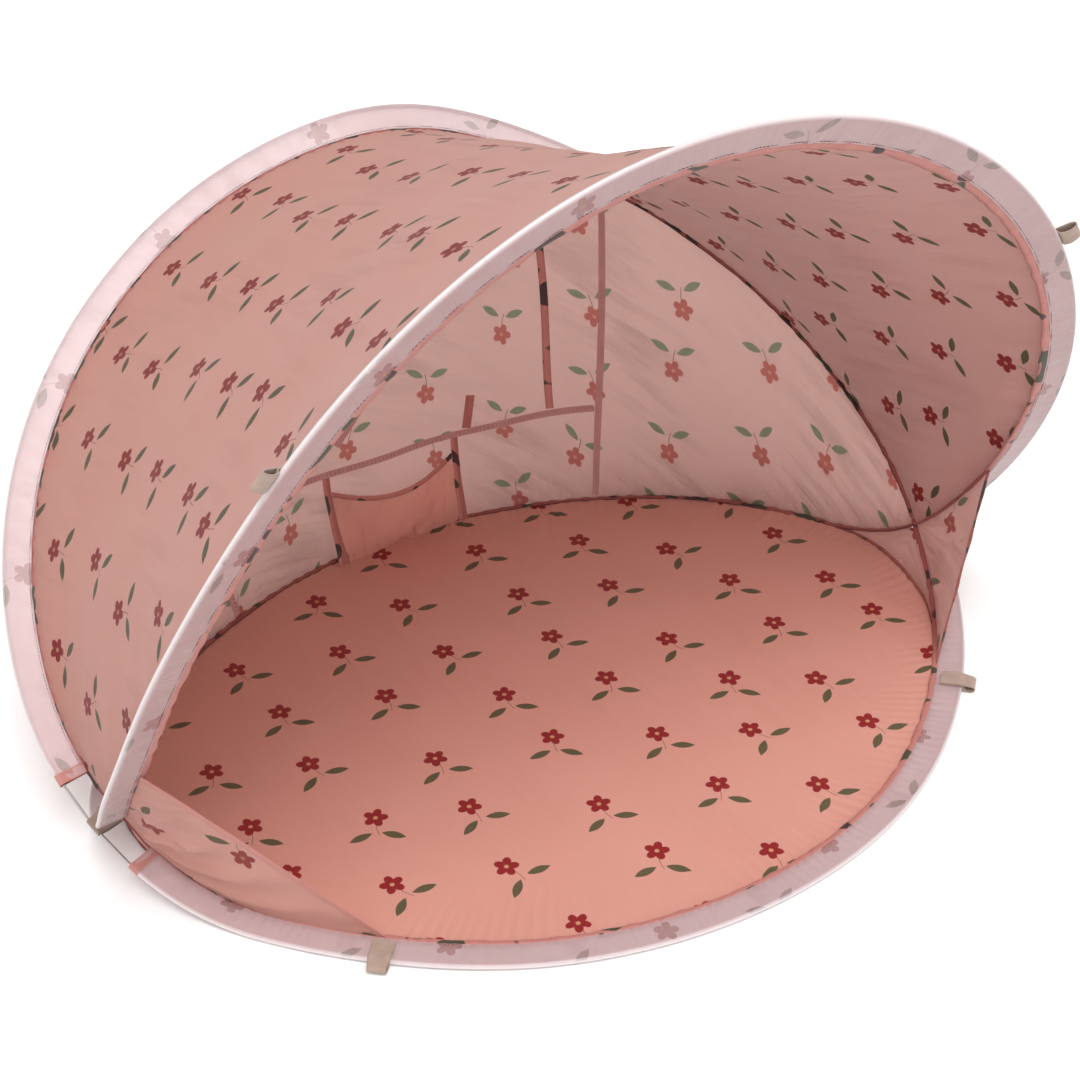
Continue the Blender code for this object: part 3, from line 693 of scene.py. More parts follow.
class Graph:
    """Adds nodes to a material, and takes a number, a colour or a socket for each input."""

    def __init__(self, name: str) -> None:
        """Starts an empty material of that name.

        Args:
            name: The material's name.
        """
        self.material = bpy.data.materials.new(name)
        self.material.use_nodes = True
        self.tree = self.material.node_tree
        self.tree.nodes.clear()

    def node(self, kind: str, inputs: dict | None = None, **settings: object) -> bpy.types.Node:
        """Adds a node.

        Args:
            kind: The node's type.
            inputs: Values or sockets, by input name or number.
            settings: The node's own settings.

        Returns:
            The node.
        """
        made = self.tree.nodes.new(kind)
        for key, value in settings.items():
            setattr(made, key, value)
        for key, value in (inputs or {}).items():
            self.put(made.inputs[key], value)
        return made

    def put(self, socket: Socket, value: object) -> None:
        """Links a socket to an input, or sets the input's own value.

        Args:
            socket: The input.
            value: The socket to link, or the value to set.
        """
        if isinstance(value, bpy.types.NodeSocket):
            self.tree.links.new(value, socket)
        else:
            socket.default_value = value

    def math(self, operation: str, first: object, second: object = 0.0, clamp: bool = False) -> Socket:
        """The result of a Math node."""
        made = self.node("ShaderNodeMath", {0: first, 1: second}, operation=operation, use_clamp=clamp)
        return made.outputs[0]

    def times(self, first: object, second: object, clamp: bool = False) -> Socket:
        """One value times another."""
        return self.math("MULTIPLY", first, second, clamp)

    def plus(self, first: object, second: object) -> Socket:
        """The sum of two values."""
        return self.math("ADD", first, second)

    def minus(self, first: object, second: object, clamp: bool = False) -> Socket:
        """The first value less the second."""
        return self.math("SUBTRACT", first, second, clamp)

    def divided(self, first: object, second: object, clamp: bool = False) -> Socket:
        """The first value divided by the second."""
        return self.math("DIVIDE", first, second, clamp)

    def place(self) -> Socket:
        """Places in the tent's own space."""
        return self.node("ShaderNodeTexCoord").outputs["Object"]

    def flat(self) -> Socket:
        """Places on the cloth's flat cut."""
        return self.node("ShaderNodeUVMap", uv_map="flat").outputs[0]

    def mix(self, share: object, first: object, second: object, blend: str = "MIX") -> Socket:
        """Two colours mixed by a share.

        Args:
            share: How much of the second colour shows.
            first: The first colour.
            second: The second colour.
            blend: How the two are blended.

        Returns:
            The mixed colour.
        """
        made = self.node("ShaderNodeMix", data_type="RGBA", blend_type=blend, clamp_factor=True)
        self.put(made.inputs[0], share)
        self.put(made.inputs[MIX_FIRST], first)
        self.put(made.inputs[MIX_SECOND], second)
        return made.outputs[MIX_RESULT]

    def noise(self, where: Socket, scale: float, detail: float = 2.0) -> Socket:
        """Smooth noise from 0 to 1.

        Args:
            where: The places to read.
            scale: How fine the noise is.
            detail: How much finer noise lies in it.

        Returns:
            The noise.
        """
        made = self.node(
            "ShaderNodeTexNoise", {"Vector": where, "Scale": scale, "Detail": detail, "Roughness": 0.5}
        )
        return made.outputs[0]

    def wave(self, where: Socket, period: float, direction: str, bend: float = 0.0) -> Socket:
        """Even bands of the given period.

        Args:
            where: The places to read.
            period: The distance from band to band.
            direction: The axis that the bands cross.
            bend: How much the bands waver.

        Returns:
            The bands, from 0 to 1.
        """
        made = self.node(
            "ShaderNodeTexWave",
            {"Vector": where, "Scale": WAVE_SCALE / period, "Distortion": bend, "Detail": 1.0},
            wave_type="BANDS",
            bands_direction=direction,
        )
        return made.outputs["Fac"]

    def bump(self, height: Socket, distance: float, under: Socket | None = None) -> Socket:
        """A bumped normal, over another one if given.

        Args:
            height: The height to read.
            distance: How far a height of one stands out.
            under: The normal beneath, if any.

        Returns:
            The normal.
        """
        made = self.node("ShaderNodeBump", {"Height": height, "Distance": distance, "Strength": 1.0})
        if under is not None:
            self.put(made.inputs["Normal"], under)
        return made.outputs[0]

    def surface(self, shader: bpy.types.Node) -> bpy.types.Material:
        """Ends the material with a shader and returns it."""
        self.node("ShaderNodeOutputMaterial", {"Surface": shader.outputs[0]})
        return self.material


Colour = tuple[float, float, float, float]


@dataclass(frozen=True)
class BlossomPrint:
    """A small printed blossom with two leaves, repeated in a half-drop layout."""

    pitch_along: float = 0.126
    pitch_across: float = 0.112
    drift: float = 0.030
    size: float = 1.24
    turn: float = math.pi
    turn_spread: float = 0.9
    soft_edge: float = 0.0007
    blossom_radius: float = 0.0125
    blossom_drop: float = 0.011
    eye_radius: float = 0.0026
    leaf_length: float = 0.0125
    leaf_width: float = 0.0047
    leaf_out: float = 0.0155
    leaf_up: float = 0.0145
    leaf_tilt: float = 0.42
    stem_half_width: float = 0.0006
    stem_top: float = 0.0135
    petal: Colour = (0.27, 0.006, 0.009, 1.0)
    eye: Colour = (0.62, 0.30, 0.16, 1.0)
    leaf: Colour = (0.105, 0.090, 0.040, 1.0)
    stem: Colour = (0.090, 0.045, 0.025, 1.0)
    petals: int = 5
    lobe_depth: float = 0.42
    lobe_base: float = 0.58
    stem_bend: float = 14.0

    def over(self, graph: Graph, cloth: Socket, strength: float) -> Socket:
        """Prints the cloth's colour.

        Args:
            graph: The material being made.
            cloth: The plain cloth's colour.
            strength: How strongly the print shows.

        Returns:
            The printed colour.
        """
        flat = graph.flat()
        split = graph.node("ShaderNodeSeparateXYZ", {0: flat}).outputs
        along = graph.divided(split[0], self.pitch_along)
        column = graph.math("FLOOR", along)
        odd = graph.math("FLOORED_MODULO", column, 2.0)
        across = graph.plus(graph.divided(split[1], self.pitch_across), graph.times(odd, 0.5))
        row = graph.math("FLOOR", across)
        cell = graph.node("ShaderNodeCombineXYZ", {0: column, 1: row}).outputs[0]
        dice = graph.node("ShaderNodeTexWhiteNoise", {"Vector": cell}, noise_dimensions="3D").outputs
        chance = dice["Value"]
        shift = graph.node("ShaderNodeSeparateColor", {0: dice["Color"]}).outputs
        spread = graph.times(graph.minus(chance, 0.5), self.turn_spread)
        spread = graph.plus(spread, self.turn)
        x, y = self.cell_place(graph, along, column, across, row)
        x = graph.plus(x, graph.times(graph.minus(shift[0], 0.5), self.drift))
        y = graph.plus(y, graph.times(graph.minus(shift[1], 0.5), self.drift))
        x, y = self.turned(graph, x, y, spread)
        x, y = graph.divided(x, self.size), graph.divided(y, self.size)
        x = graph.times(x, graph.minus(1.0, graph.times(odd, 2.0)))
        colour = self.inked(graph, cloth, self.stem, self.stem_mark(graph, x, y), strength)
        for way in (-1, 1):
            colour = self.inked(graph, colour, self.leaf, self.leaf_mark(graph, x, y, way), strength)
        petals, eye = self.blossom_marks(graph, x, y)
        colour = self.inked(graph, colour, self.petal, petals, strength)
        return self.inked(graph, colour, self.eye, eye, strength)

    def cell_place(
        self, graph: Graph, along: Socket, column: Socket, across: Socket, row: Socket
    ) -> tuple[Socket, Socket]:
        """The place within a cell of the layout, from the cell's centre.

        Args:
            graph: The material being made.
            along: Place along the cloth, counted in cells.
            column: The cell's number.
            across: Place across the cloth, counted in cells.
            row: The cell's number.

        Returns:
            The two distances.
        """
        x = graph.times(graph.minus(graph.minus(along, column), 0.5), self.pitch_along)
        y = graph.times(graph.minus(graph.minus(across, row), 0.5), self.pitch_across)
        return x, y

    def turned(self, graph: Graph, x: Socket, y: Socket, angle: object) -> tuple[Socket, Socket]:
        """A place turned by an angle, which is a number or a socket.

        Args:
            graph: The material being made.
            x: Distance along the cloth.
            y: Distance across it.
            angle: The angle to turn by.

        Returns:
            The turned place.
        """
        cosine, sine = graph.math("COSINE", angle), graph.math("SINE", angle)
        first = graph.plus(graph.times(x, cosine), graph.times(y, sine))
        second = graph.minus(graph.times(y, cosine), graph.times(x, sine))
        return first, second

    def edge(self, graph: Graph, inside: Socket) -> Socket:
        """A mark that is one inside its edge, with the edge a little soft."""
        return graph.divided(inside, self.soft_edge, clamp=True)

    def inked(self, graph: Graph, under: Socket, ink: Colour, mark: Socket, strength: float) -> Socket:
        """An ink laid over a colour where its mark is."""
        return graph.mix(graph.times(mark, strength), under, ink)

    def blossom_marks(self, graph: Graph, x: Socket, y: Socket) -> tuple[Socket, Socket]:
        """The marks of the five petals and of the blossom's eye.

        Args:
            graph: The material being made.
            x: Distance along the cloth from the cell's centre.
            y: Distance across the cloth from the cell's centre.

        Returns:
            The petals' mark and the eye's.
        """
        low = graph.plus(y, self.blossom_drop)
        away = graph.math(
            "SQRT", graph.plus(graph.times(x, x), graph.times(low, low))
        )
        around = graph.math("ARCTAN2", low, x)
        lobe = graph.math("ABSOLUTE", graph.math("COSINE", graph.times(around, self.petals / 2)))
        rim = graph.times(graph.plus(graph.times(lobe, self.lobe_depth), self.lobe_base), self.blossom_radius)
        petals = self.edge(graph, graph.minus(rim, away))
        eye = self.edge(graph, graph.minus(self.eye_radius, away))
        return petals, eye

    def leaf_mark(self, graph: Graph, x: Socket, y: Socket, way: int) -> Socket:
        """The mark of a pointed leaf on one side.

        Args:
            graph: The material being made.
            x: Distance along the cloth from the cell's centre.
            y: Distance across the cloth from the cell's centre.
            way: Minus one for the left leaf, one for the right.

        Returns:
            The mark.
        """
        out = graph.minus(x, way * self.leaf_out)
        up = graph.minus(y, self.leaf_up)
        long, wide = self.turned(graph, out, up, way * self.leaf_tilt)
        share = graph.divided(long, self.leaf_length)
        half = graph.times(graph.minus(1.0, graph.times(share, share)), self.leaf_width)
        return self.edge(graph, graph.minus(half, graph.math("ABSOLUTE", wide)))

    def stem_mark(self, graph: Graph, x: Socket, y: Socket) -> Socket:
        """The mark of the stem between the blossom and the leaves.

        Args:
            graph: The material being made.
            x: Distance along the cloth from the cell's centre.
            y: Distance across the cloth from the cell's centre.

        Returns:
            The mark.
        """
        curved = graph.minus(x, graph.times(graph.times(y, y), self.stem_bend))
        line = self.edge(graph, graph.minus(self.stem_half_width, graph.math("ABSOLUTE", curved)))
        under_top = graph.math("LESS_THAN", y, self.stem_top)
        over_foot = graph.math("GREATER_THAN", y, -self.blossom_drop)
        return graph.times(line, graph.times(under_top, over_foot))


@dataclass(frozen=True)
class WovenCloth:
    """Thin woven polyester, which lets some light through, with a print if it has one. Painted shade darkens its
    creases, both on its face and in the light that it lets through.
    """

    name: str
    colour: Colour
    shade: Colour
    through: Colour
    glow: float = 0.3
    print_strength: float = 0.0
    roughness: float = 0.62
    sheen: float = 0.25
    alpha: float = 1.0
    crease: float = 0.0007
    streak_scale: float = 42.0
    streak_stretch: float = 0.16
    streak_turn: float = 0.0
    # Share of painted shade in the creases, on the face and in the light let through
    streak_share: float = 0.55
    thread: float = 0.0008
    motif: BlossomPrint = field(default_factory=BlossomPrint)
    through_motif: BlossomPrint = field(
        default_factory=lambda: BlossomPrint(
            petal=(0.74, 0.40, 0.36, 1.0), eye=(0.80, 0.56, 0.48, 1.0), leaf=(0.50, 0.53, 0.42, 1.0)
        )
    )
    cloud_share: float = 0.9
    fleck_share: float = 0.22
    # How much darker the light let through gets in the creases: painted shade
    dulling: float = 0.80
    thread_height: float = 0.00004
    streak_rise: float = 1.4
    slack_rise: float = 2.6
    streak_floor: float = 0.44
    streak_gain: float = 4.5
    patch_floor: float = 0.38
    patch_gain: float = 4.0

    def material(self) -> bpy.types.Material:
        """The cloth's material.

        Returns:
            The material.
        """
        graph = Graph(self.name)
        place = graph.place()
        flat = graph.flat()
        cloud = graph.times(graph.noise(place, scale=5.0, detail=3.0), self.cloud_share, clamp=True)
        colour = graph.mix(cloud, self.colour, self.shade)
        fleck = graph.times(graph.noise(flat, scale=900.0, detail=1.0), self.fleck_share)
        colour = graph.mix(fleck, colour, self.shade)
        # Painted shade in the creases: the streaks darken the colour and the light let through
        streak = self.streaks(graph, flat, place)
        colour = graph.mix(graph.times(streak, self.streak_share), colour, self.shade)
        dull = tuple(self.dulling * value for value in self.through[:3]) + (1.0,)
        through = graph.mix(graph.times(streak, self.streak_share), self.through, dull)
        if self.print_strength:
            colour = self.motif.over(graph, colour, self.print_strength)
            through = self.through_motif.over(graph, through, self.print_strength)
        threads = graph.plus(graph.wave(flat, self.thread, "X"), graph.wave(flat, self.thread, "Y"))
        normal = graph.bump(threads, self.thread_height)
        normal = graph.bump(streak, self.crease * self.streak_rise, normal)
        normal = graph.bump(graph.noise(place, scale=38.0, detail=4.0), self.crease, normal)
        normal = graph.bump(graph.noise(place, scale=11.0, detail=2.0), self.crease * self.slack_rise, normal)
        skin = graph.node(
            "ShaderNodeBsdfPrincipled",
            {
                "Base Color": colour,
                "Roughness": self.roughness,
                "Sheen Weight": self.sheen,
                "Sheen Roughness": 0.4,
                "Alpha": self.alpha,
                "Normal": normal,
            },
        )
        back = graph.node("ShaderNodeBsdfTranslucent", {"Color": through, "Normal": normal})
        both = graph.node("ShaderNodeMixShader", {0: self.glow, 1: skin.outputs[0], 2: back.outputs[0]})
        return graph.surface(both)

    def streaks(self, graph: Graph, flat: Socket, place: Socket) -> Socket:
        """Uneven crease streaks, square to the seams, from 0 to 1: they bump the creases and mask the painted shade in
        them.

        Args:
            graph: The material being made.
            flat: Places on the flat cut.
            place: Places in the tent's own space.

        Returns:
            The streaks.
        """
        turned = graph.node(
            "ShaderNodeVectorRotate", {"Vector": flat, "Angle": self.streak_turn}, rotation_type="Z_AXIS"
        )
        drawn = graph.node(
            "ShaderNodeVectorMath",
            {0: turned.outputs[0], 1: (1.0, self.streak_stretch, 1.0)},
            operation="MULTIPLY",
        )
        lines = graph.noise(drawn.outputs[0], self.streak_scale, detail=3.0)
        lines = graph.times(graph.minus(lines, self.streak_floor), self.streak_gain, clamp=True)
        patches = graph.minus(graph.noise(place, scale=6.0, detail=1.0), self.patch_floor)
        patches = graph.times(patches, self.patch_gain, clamp=True)
        return graph.times(lines, patches)


@dataclass(frozen=True)
class SheerCloth:
    """Very thin woven polyester that the things behind it show through, with a painted highlight along its bend round
    the wire.
    """

    name: str
    colour: Colour
    shade: Colour
    cover: float = 0.39
    print_strength: float = 0.52
    roughness: float = 0.33
    # Painted highlight: a paler, less see-through band where the cloth bends round the wire
    fold_colour: Colour = (0.95, 0.865, 0.865, 1.0)
    fold_place: float = 0.0355
    fold_reach: float = 0.0050
    pleat_scale: float = 85.0
    pleat_stretch: float = 0.22
    motif: BlossomPrint = field(default_factory=BlossomPrint)
    fold_cover: float = 0.9
    pleat_height: float = 0.0030
    thread: float = 0.0008
    thread_height: float = 0.00003

    def material(self) -> bpy.types.Material:
        """The cloth's material.

        Returns:
            The material.
        """
        graph = Graph(self.name)
        place = graph.place()
        flat = graph.flat()
        colour = graph.mix(graph.noise(place, scale=9.0, detail=3.0), self.colour, self.shade)
        colour = self.motif.over(graph, colour, self.print_strength)
        # Painted highlight along the bend round the wire, centred at fold_place across the cloth
        across = graph.node("ShaderNodeSeparateXYZ", {0: flat}).outputs[1]
        from_fold = graph.math("ABSOLUTE", graph.minus(across, self.fold_place))
        fold = graph.minus(1.0, graph.divided(from_fold, self.fold_reach), clamp=True)
        colour = graph.mix(fold, colour, self.fold_colour)
        cover = graph.plus(self.cover, graph.times(fold, self.fold_cover - self.cover))
        threads = graph.plus(graph.wave(flat, self.thread, "X"), graph.wave(flat, self.thread, "Y"))
        normal = graph.bump(threads, self.thread_height)
        drawn = graph.node(
            "ShaderNodeVectorMath", {0: flat, 1: (1.0, self.pleat_stretch, 1.0)}, operation="MULTIPLY"
        )
        pleats = graph.noise(drawn.outputs[0], self.pleat_scale, detail=2.0)
        normal = graph.bump(pleats, self.pleat_height, normal)
        normal = graph.bump(graph.noise(place, scale=60.0, detail=3.0), distance=0.0006, under=normal)
        skin = graph.node(
            "ShaderNodeBsdfPrincipled",
            {
                "Base Color": colour,
                "Roughness": self.roughness,
                "Sheen Weight": 0.3,
                "Coat Weight": 0.55,
                "Coat Roughness": 0.20,
                "Alpha": cover,
                "Normal": normal,
            },
        )
        return graph.surface(skin)


@dataclass(frozen=True)
class BindingTape:
    """Narrow woven tape with a slanting twill."""

    name: str
    colour: Colour
    shade: Colour
    twill: float = 0.0016
    roughness: float = 0.7
    twill_bend: float = 0.4
    twill_share: float = 0.35

    def material(self) -> bpy.types.Material:
        """The tape's material.

        Returns:
            The material.
        """
        graph = Graph(self.name)
        place = graph.place()
        flat = graph.flat()
        slant = graph.wave(flat, self.twill, "DIAGONAL", self.twill_bend)
        colour = graph.mix(graph.noise(place, scale=30.0, detail=3.0), self.colour, self.shade)
        colour = graph.mix(graph.times(slant, self.twill_share), colour, self.shade)
        normal = graph.bump(slant, distance=0.0002)
        normal = graph.bump(graph.noise(place, scale=120.0, detail=2.0), distance=0.0003, under=normal)
        skin = graph.node(
            "ShaderNodeBsdfPrincipled",
            {"Base Color": colour, "Roughness": self.roughness, "Sheen Weight": 0.2, "Normal": normal},
        )
        return graph.surface(skin)


@dataclass(frozen=True)
class FoldedBinding:
    """Binding cut from the printed cloth, so that scraps of the print come round its fold. Painted shade darkens it
    towards its edges, in its small folds and, where an end colour is given, near its ends.
    """

    name: str
    colour: Colour
    shade: Colour
    scrap: Colour = (0.045, 0.014, 0.012, 1.0)
    leaf_scrap: Colour = (0.050, 0.045, 0.022, 1.0)
    half_width: float = 0.0040
    scrap_share: float = 0.60
    end_colour: Colour | None = None
    edge_power: float = 3.0
    fold_share: float = 0.5
    scrap_edge: float = 0.02
    leaf_rarity: float = 0.05

    def material(self) -> bpy.types.Material:
        """The binding's material.

        Returns:
            The material.
        """
        graph = Graph(self.name)
        place = graph.place()
        flat = graph.flat()
        split = graph.node("ShaderNodeSeparateXYZ", {0: flat}).outputs
        # Painted shade, darker towards the binding's edges
        edge = graph.divided(graph.math("ABSOLUTE", split[1]), self.half_width, clamp=True)
        edge = graph.math("POWER", edge, self.edge_power)
        colour = graph.mix(edge, self.colour, self.shade)
        # Painted shade near both ends, by the crossings
        if self.end_colour:
            near_end = graph.node("ShaderNodeAttribute", attribute_name="near_end").outputs["Fac"]
            colour = graph.mix(near_end, colour, self.end_colour)
        # Painted shade in the small folds, which also bump the surface
        folds = graph.noise(place, scale=90.0, detail=3.0)
        colour = graph.mix(graph.times(folds, self.fold_share), colour, self.shade)
        patch = graph.minus(graph.noise(place, scale=26.0, detail=1.0), self.scrap_share)
        patch = graph.divided(patch, self.scrap_edge, clamp=True)
        colour = graph.mix(patch, colour, self.scrap)
        patch = graph.minus(graph.noise(place, scale=31.0, detail=0.0), self.scrap_share + self.leaf_rarity)
        colour = graph.mix(graph.divided(patch, self.scrap_edge, clamp=True), colour, self.leaf_scrap)
        normal = graph.bump(folds, distance=0.0009)
        skin = graph.node(
            "ShaderNodeBsdfPrincipled",
            {"Base Color": colour, "Roughness": 0.6, "Sheen Weight": 0.2, "Normal": normal},
        )
        return graph.surface(skin)


@dataclass(frozen=True)
class RibbedWebbing:
    """Woven strap with ribs along it and thicker, darker edges."""

    name: str
    colour: Colour
    shade: Colour
    half_width: float = 0.0125
    rib: float = 0.0021
    pick: float = 0.0012
    pick_share: float = 0.5
    edge_width: float = 0.0016
    edge_fade: float = 0.0010
    rib_share: float = 0.3
    edge_share: float = 0.55

    def material(self) -> bpy.types.Material:
        """The webbing's material.

        Returns:
            The material.
        """
        graph = Graph(self.name)
        place = graph.place()
        flat = graph.flat()
        split = graph.node("ShaderNodeSeparateXYZ", {0: flat}).outputs
        ribs = graph.wave(flat, self.rib, "Y")
        picks = graph.wave(flat, self.pick, "X")
        weave = graph.plus(ribs, graph.times(picks, self.pick_share))
        edge = graph.minus(graph.math("ABSOLUTE", split[1]), self.half_width - self.edge_width)
        edge = graph.divided(edge, self.edge_fade, clamp=True)
        colour = graph.mix(graph.noise(place, scale=80.0, detail=3.0), self.colour, self.shade)
        colour = graph.mix(graph.times(ribs, self.rib_share), colour, self.shade)
        colour = graph.mix(graph.times(edge, self.edge_share), colour, self.shade)
        normal = graph.bump(weave, distance=0.00035)
        skin = graph.node(
            "ShaderNodeBsdfPrincipled",
            {"Base Color": colour, "Roughness": 0.72, "Sheen Weight": 0.35, "Normal": normal},
        )
        return graph.surface(skin)


@dataclass(frozen=True)
class DrawnSteel:
    """Drawn spring wire, with a fine uneven grain in its colour and roughness."""

    name: str = "drawn_spring_steel"
    colour: Colour = (0.62, 0.61, 0.60, 1.0)
    shade: Colour = (0.40, 0.39, 0.38, 1.0)
    smoothest: float = 0.24
    grain_roughness: float = 0.2

    def material(self) -> bpy.types.Material:
        """The wire's material.

        Returns:
            The material.
        """
        graph = Graph(self.name)
        place = graph.place()
        grain = graph.noise(place, scale=400.0, detail=4.0)
        colour = graph.mix(grain, self.colour, self.shade)
        rough = graph.plus(graph.times(grain, self.grain_roughness), self.smoothest)
        normal = graph.bump(grain, distance=0.00005)
        skin = graph.node(
            "ShaderNodeBsdfPrincipled",
            {"Base Color": colour, "Roughness": rough, "Metallic": 1.0, "Normal": normal},
        )
        return graph.surface(skin)


@dataclass(frozen=True)
class SewingThread:
    """Twisted polyester thread."""

    name: str
    colour: Colour
    shade: Colour

    def material(self) -> bpy.types.Material:
        """The thread's material.

        Returns:
            The material.
        """
        graph = Graph(self.name)
        place = graph.place()
        strand = graph.noise(place, scale=700.0, detail=2.0)
        colour = graph.mix(strand, self.colour, self.shade)
        normal = graph.bump(strand, distance=0.0001)
        skin = graph.node(
            "ShaderNodeBsdfPrincipled", {"Base Color": colour, "Roughness": 0.55, "Normal": normal}
        )
        return graph.surface(skin)


@dataclass(frozen=True)
class FinishSet:
    """Every material of the tent."""

    canopy: bpy.types.Material
    web: bpy.types.Material
    wall: bpy.types.Material
    floor: bpy.types.Material
    pocket: bpy.types.Material
    sleeve: bpy.types.Material
    arch_sleeve: bpy.types.Material
    hem: bpy.types.Material
    piping: bpy.types.Material
    pale_piping: bpy.types.Material
    web_binding: bpy.types.Material
    tie_binding: bpy.types.Material
    tape: bpy.types.Material
    stub: bpy.types.Material
    webbing: bpy.types.Material
    crossing_webbing: bpy.types.Material
    steel: bpy.types.Material
    dark_thread: bpy.types.Material
    tape_thread: bpy.types.Material
    pale_thread: bpy.types.Material


def make_finishes() -> FinishSet:
    """Makes every material once.

    Returns:
        The materials, by what wears them.
    """
    return FinishSet(
        canopy=WovenCloth(
            "canopy_polyester",
            (0.80, 0.385, 0.312, 1.0),
            (0.73, 0.335, 0.268, 1.0),
            (0.67, 0.655, 0.650, 1.0),
            glow=0.46,
            print_strength=0.98,
            through_motif=BlossomPrint(
                petal=(0.46, 0.15, 0.14, 1.0), eye=(0.60, 0.36, 0.28, 1.0), leaf=(0.28, 0.31, 0.23, 1.0)
            ),
        ).material(),
        web=WovenCloth(
            "web_polyester",
            (0.90, 0.530, 0.455, 1.0),
            (0.70, 0.340, 0.282, 1.0),
            (0.86, 0.745, 0.715, 1.0),
            glow=0.52,
            print_strength=0.92,
            crease=0.0012,
            streak_scale=62.0,
            streak_stretch=0.10,
            streak_turn=1.50,
            # The webs get strong painted shade in their creases
            streak_share=0.85,
        ).material(),
        wall=WovenCloth(
            "wall_polyester",
            (0.85, 0.530, 0.460, 1.0),
            (0.78, 0.460, 0.395, 1.0),
            (0.86, 0.695, 0.655, 1.0),
            glow=0.80,
            print_strength=0.92,
            streak_turn=1.20,
            streak_share=0.55,
            crease=0.0017,
        ).material(),
        floor=WovenCloth(
            "floor_coated_polyester",
            (0.735, 0.368, 0.298, 1.0),
            (0.67, 0.305, 0.240, 1.0),
            (0.5, 0.2, 0.16, 1.0),
            glow=0.04,
            print_strength=1.0,
            roughness=0.55,
            crease=0.0005,
            streak_share=0.25,
        ).material(),
        pocket=WovenCloth(
            "pocket_polyester",
            (0.97, 0.560, 0.465, 1.0),
            (0.88, 0.460, 0.375, 1.0),
            (1.0, 0.83, 0.79, 1.0),
            glow=0.74,
        ).material(),
        sleeve=SheerCloth(
            "sleeve_sheer_polyester", (0.84, 0.645, 0.650, 1.0), (0.75, 0.540, 0.550, 1.0)
        ).material(),
        # A darker copy of the sleeve cloth for the front arch: painted shade
        arch_sleeve=SheerCloth(
            "arch_sheer_polyester", (0.66, 0.450, 0.445, 1.0), (0.54, 0.345, 0.342, 1.0), cover=0.72
        ).material(),
        hem=WovenCloth(
            "hem_polyester",
            (0.72, 0.345, 0.298, 1.0),
            (0.62, 0.270, 0.230, 1.0),
            (0.75, 0.33, 0.28, 1.0),
            glow=0.25,
        ).material(),
        piping=FoldedBinding(
            "seam_binding_cloth", (0.42, 0.125, 0.105, 1.0), (0.15, 0.030, 0.025, 1.0)
        ).material(),
        pale_piping=FoldedBinding(
            "front_binding_cloth",
            (0.56, 0.225, 0.190, 1.0),
            (0.30, 0.080, 0.066, 1.0),
            half_width=0.0066,
            scrap_share=0.64,
            # Painted shade near the crossings
            end_colour=(0.30, 0.070, 0.058, 1.0),
        ).material(),
        tie_binding=FoldedBinding(
            "tie_binding_cloth",
            (0.62, 0.250, 0.205, 1.0),
            (0.42, 0.140, 0.110, 1.0),
            half_width=0.0060,
            scrap_share=0.645,
        ).material(),
        web_binding=FoldedBinding(
            "web_binding_cloth",
            (0.62, 0.230, 0.190, 1.0),
            (0.34, 0.090, 0.072, 1.0),
            half_width=0.0080,
            scrap_share=0.58,
        ).material(),
        tape=BindingTape("wall_tape_twill", (0.72, 0.400, 0.370, 1.0), (0.52, 0.250, 0.230, 1.0)).material(),
        stub=BindingTape(
            "stub_twill", (0.70, 0.255, 0.205, 1.0), (0.30, 0.080, 0.066, 1.0), twill=0.0034
        ).material(),
        webbing=RibbedWebbing(
            "strap_webbing", (0.56, 0.415, 0.335, 1.0), (0.36, 0.245, 0.190, 1.0)
        ).material(),
        crossing_webbing=RibbedWebbing(
            "crossing_webbing", (0.42, 0.300, 0.240, 1.0), (0.22, 0.150, 0.115, 1.0)
        ).material(),
        steel=DrawnSteel().material(),
        dark_thread=SewingThread(
            "dark_thread", (0.12, 0.035, 0.032, 1.0), (0.06, 0.02, 0.018, 1.0)
        ).material(),
        tape_thread=SewingThread(
            "tape_thread", (0.40, 0.170, 0.150, 1.0), (0.26, 0.100, 0.088, 1.0)
        ).material(),
        pale_thread=SewingThread("pale_thread", (0.62, 0.34, 0.30, 1.0), (0.45, 0.22, 0.19, 1.0)).material(),
    )


def dress(piece: Object, material: bpy.types.Material, slot: str) -> Object:
    """Gives a piece its one material and names the record's slot that it stands for.

    Args:
        piece: The piece.
        material: Its material.
        slot: The record's slot.

    Returns:
        The same piece.
    """
    piece.data.materials.clear()
    piece.data.materials.append(material)
    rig.slot(piece, slot)
    return piece


# Stitches


@dataclass(frozen=True)
class StitchSize:
    """One kind of stitch: its length, the step to the next one, its thread and its turn from the seam."""

    length: float = 0.0032
    step: float = 0.0046
    thread: float = 0.0006
    turn: float = 0.0


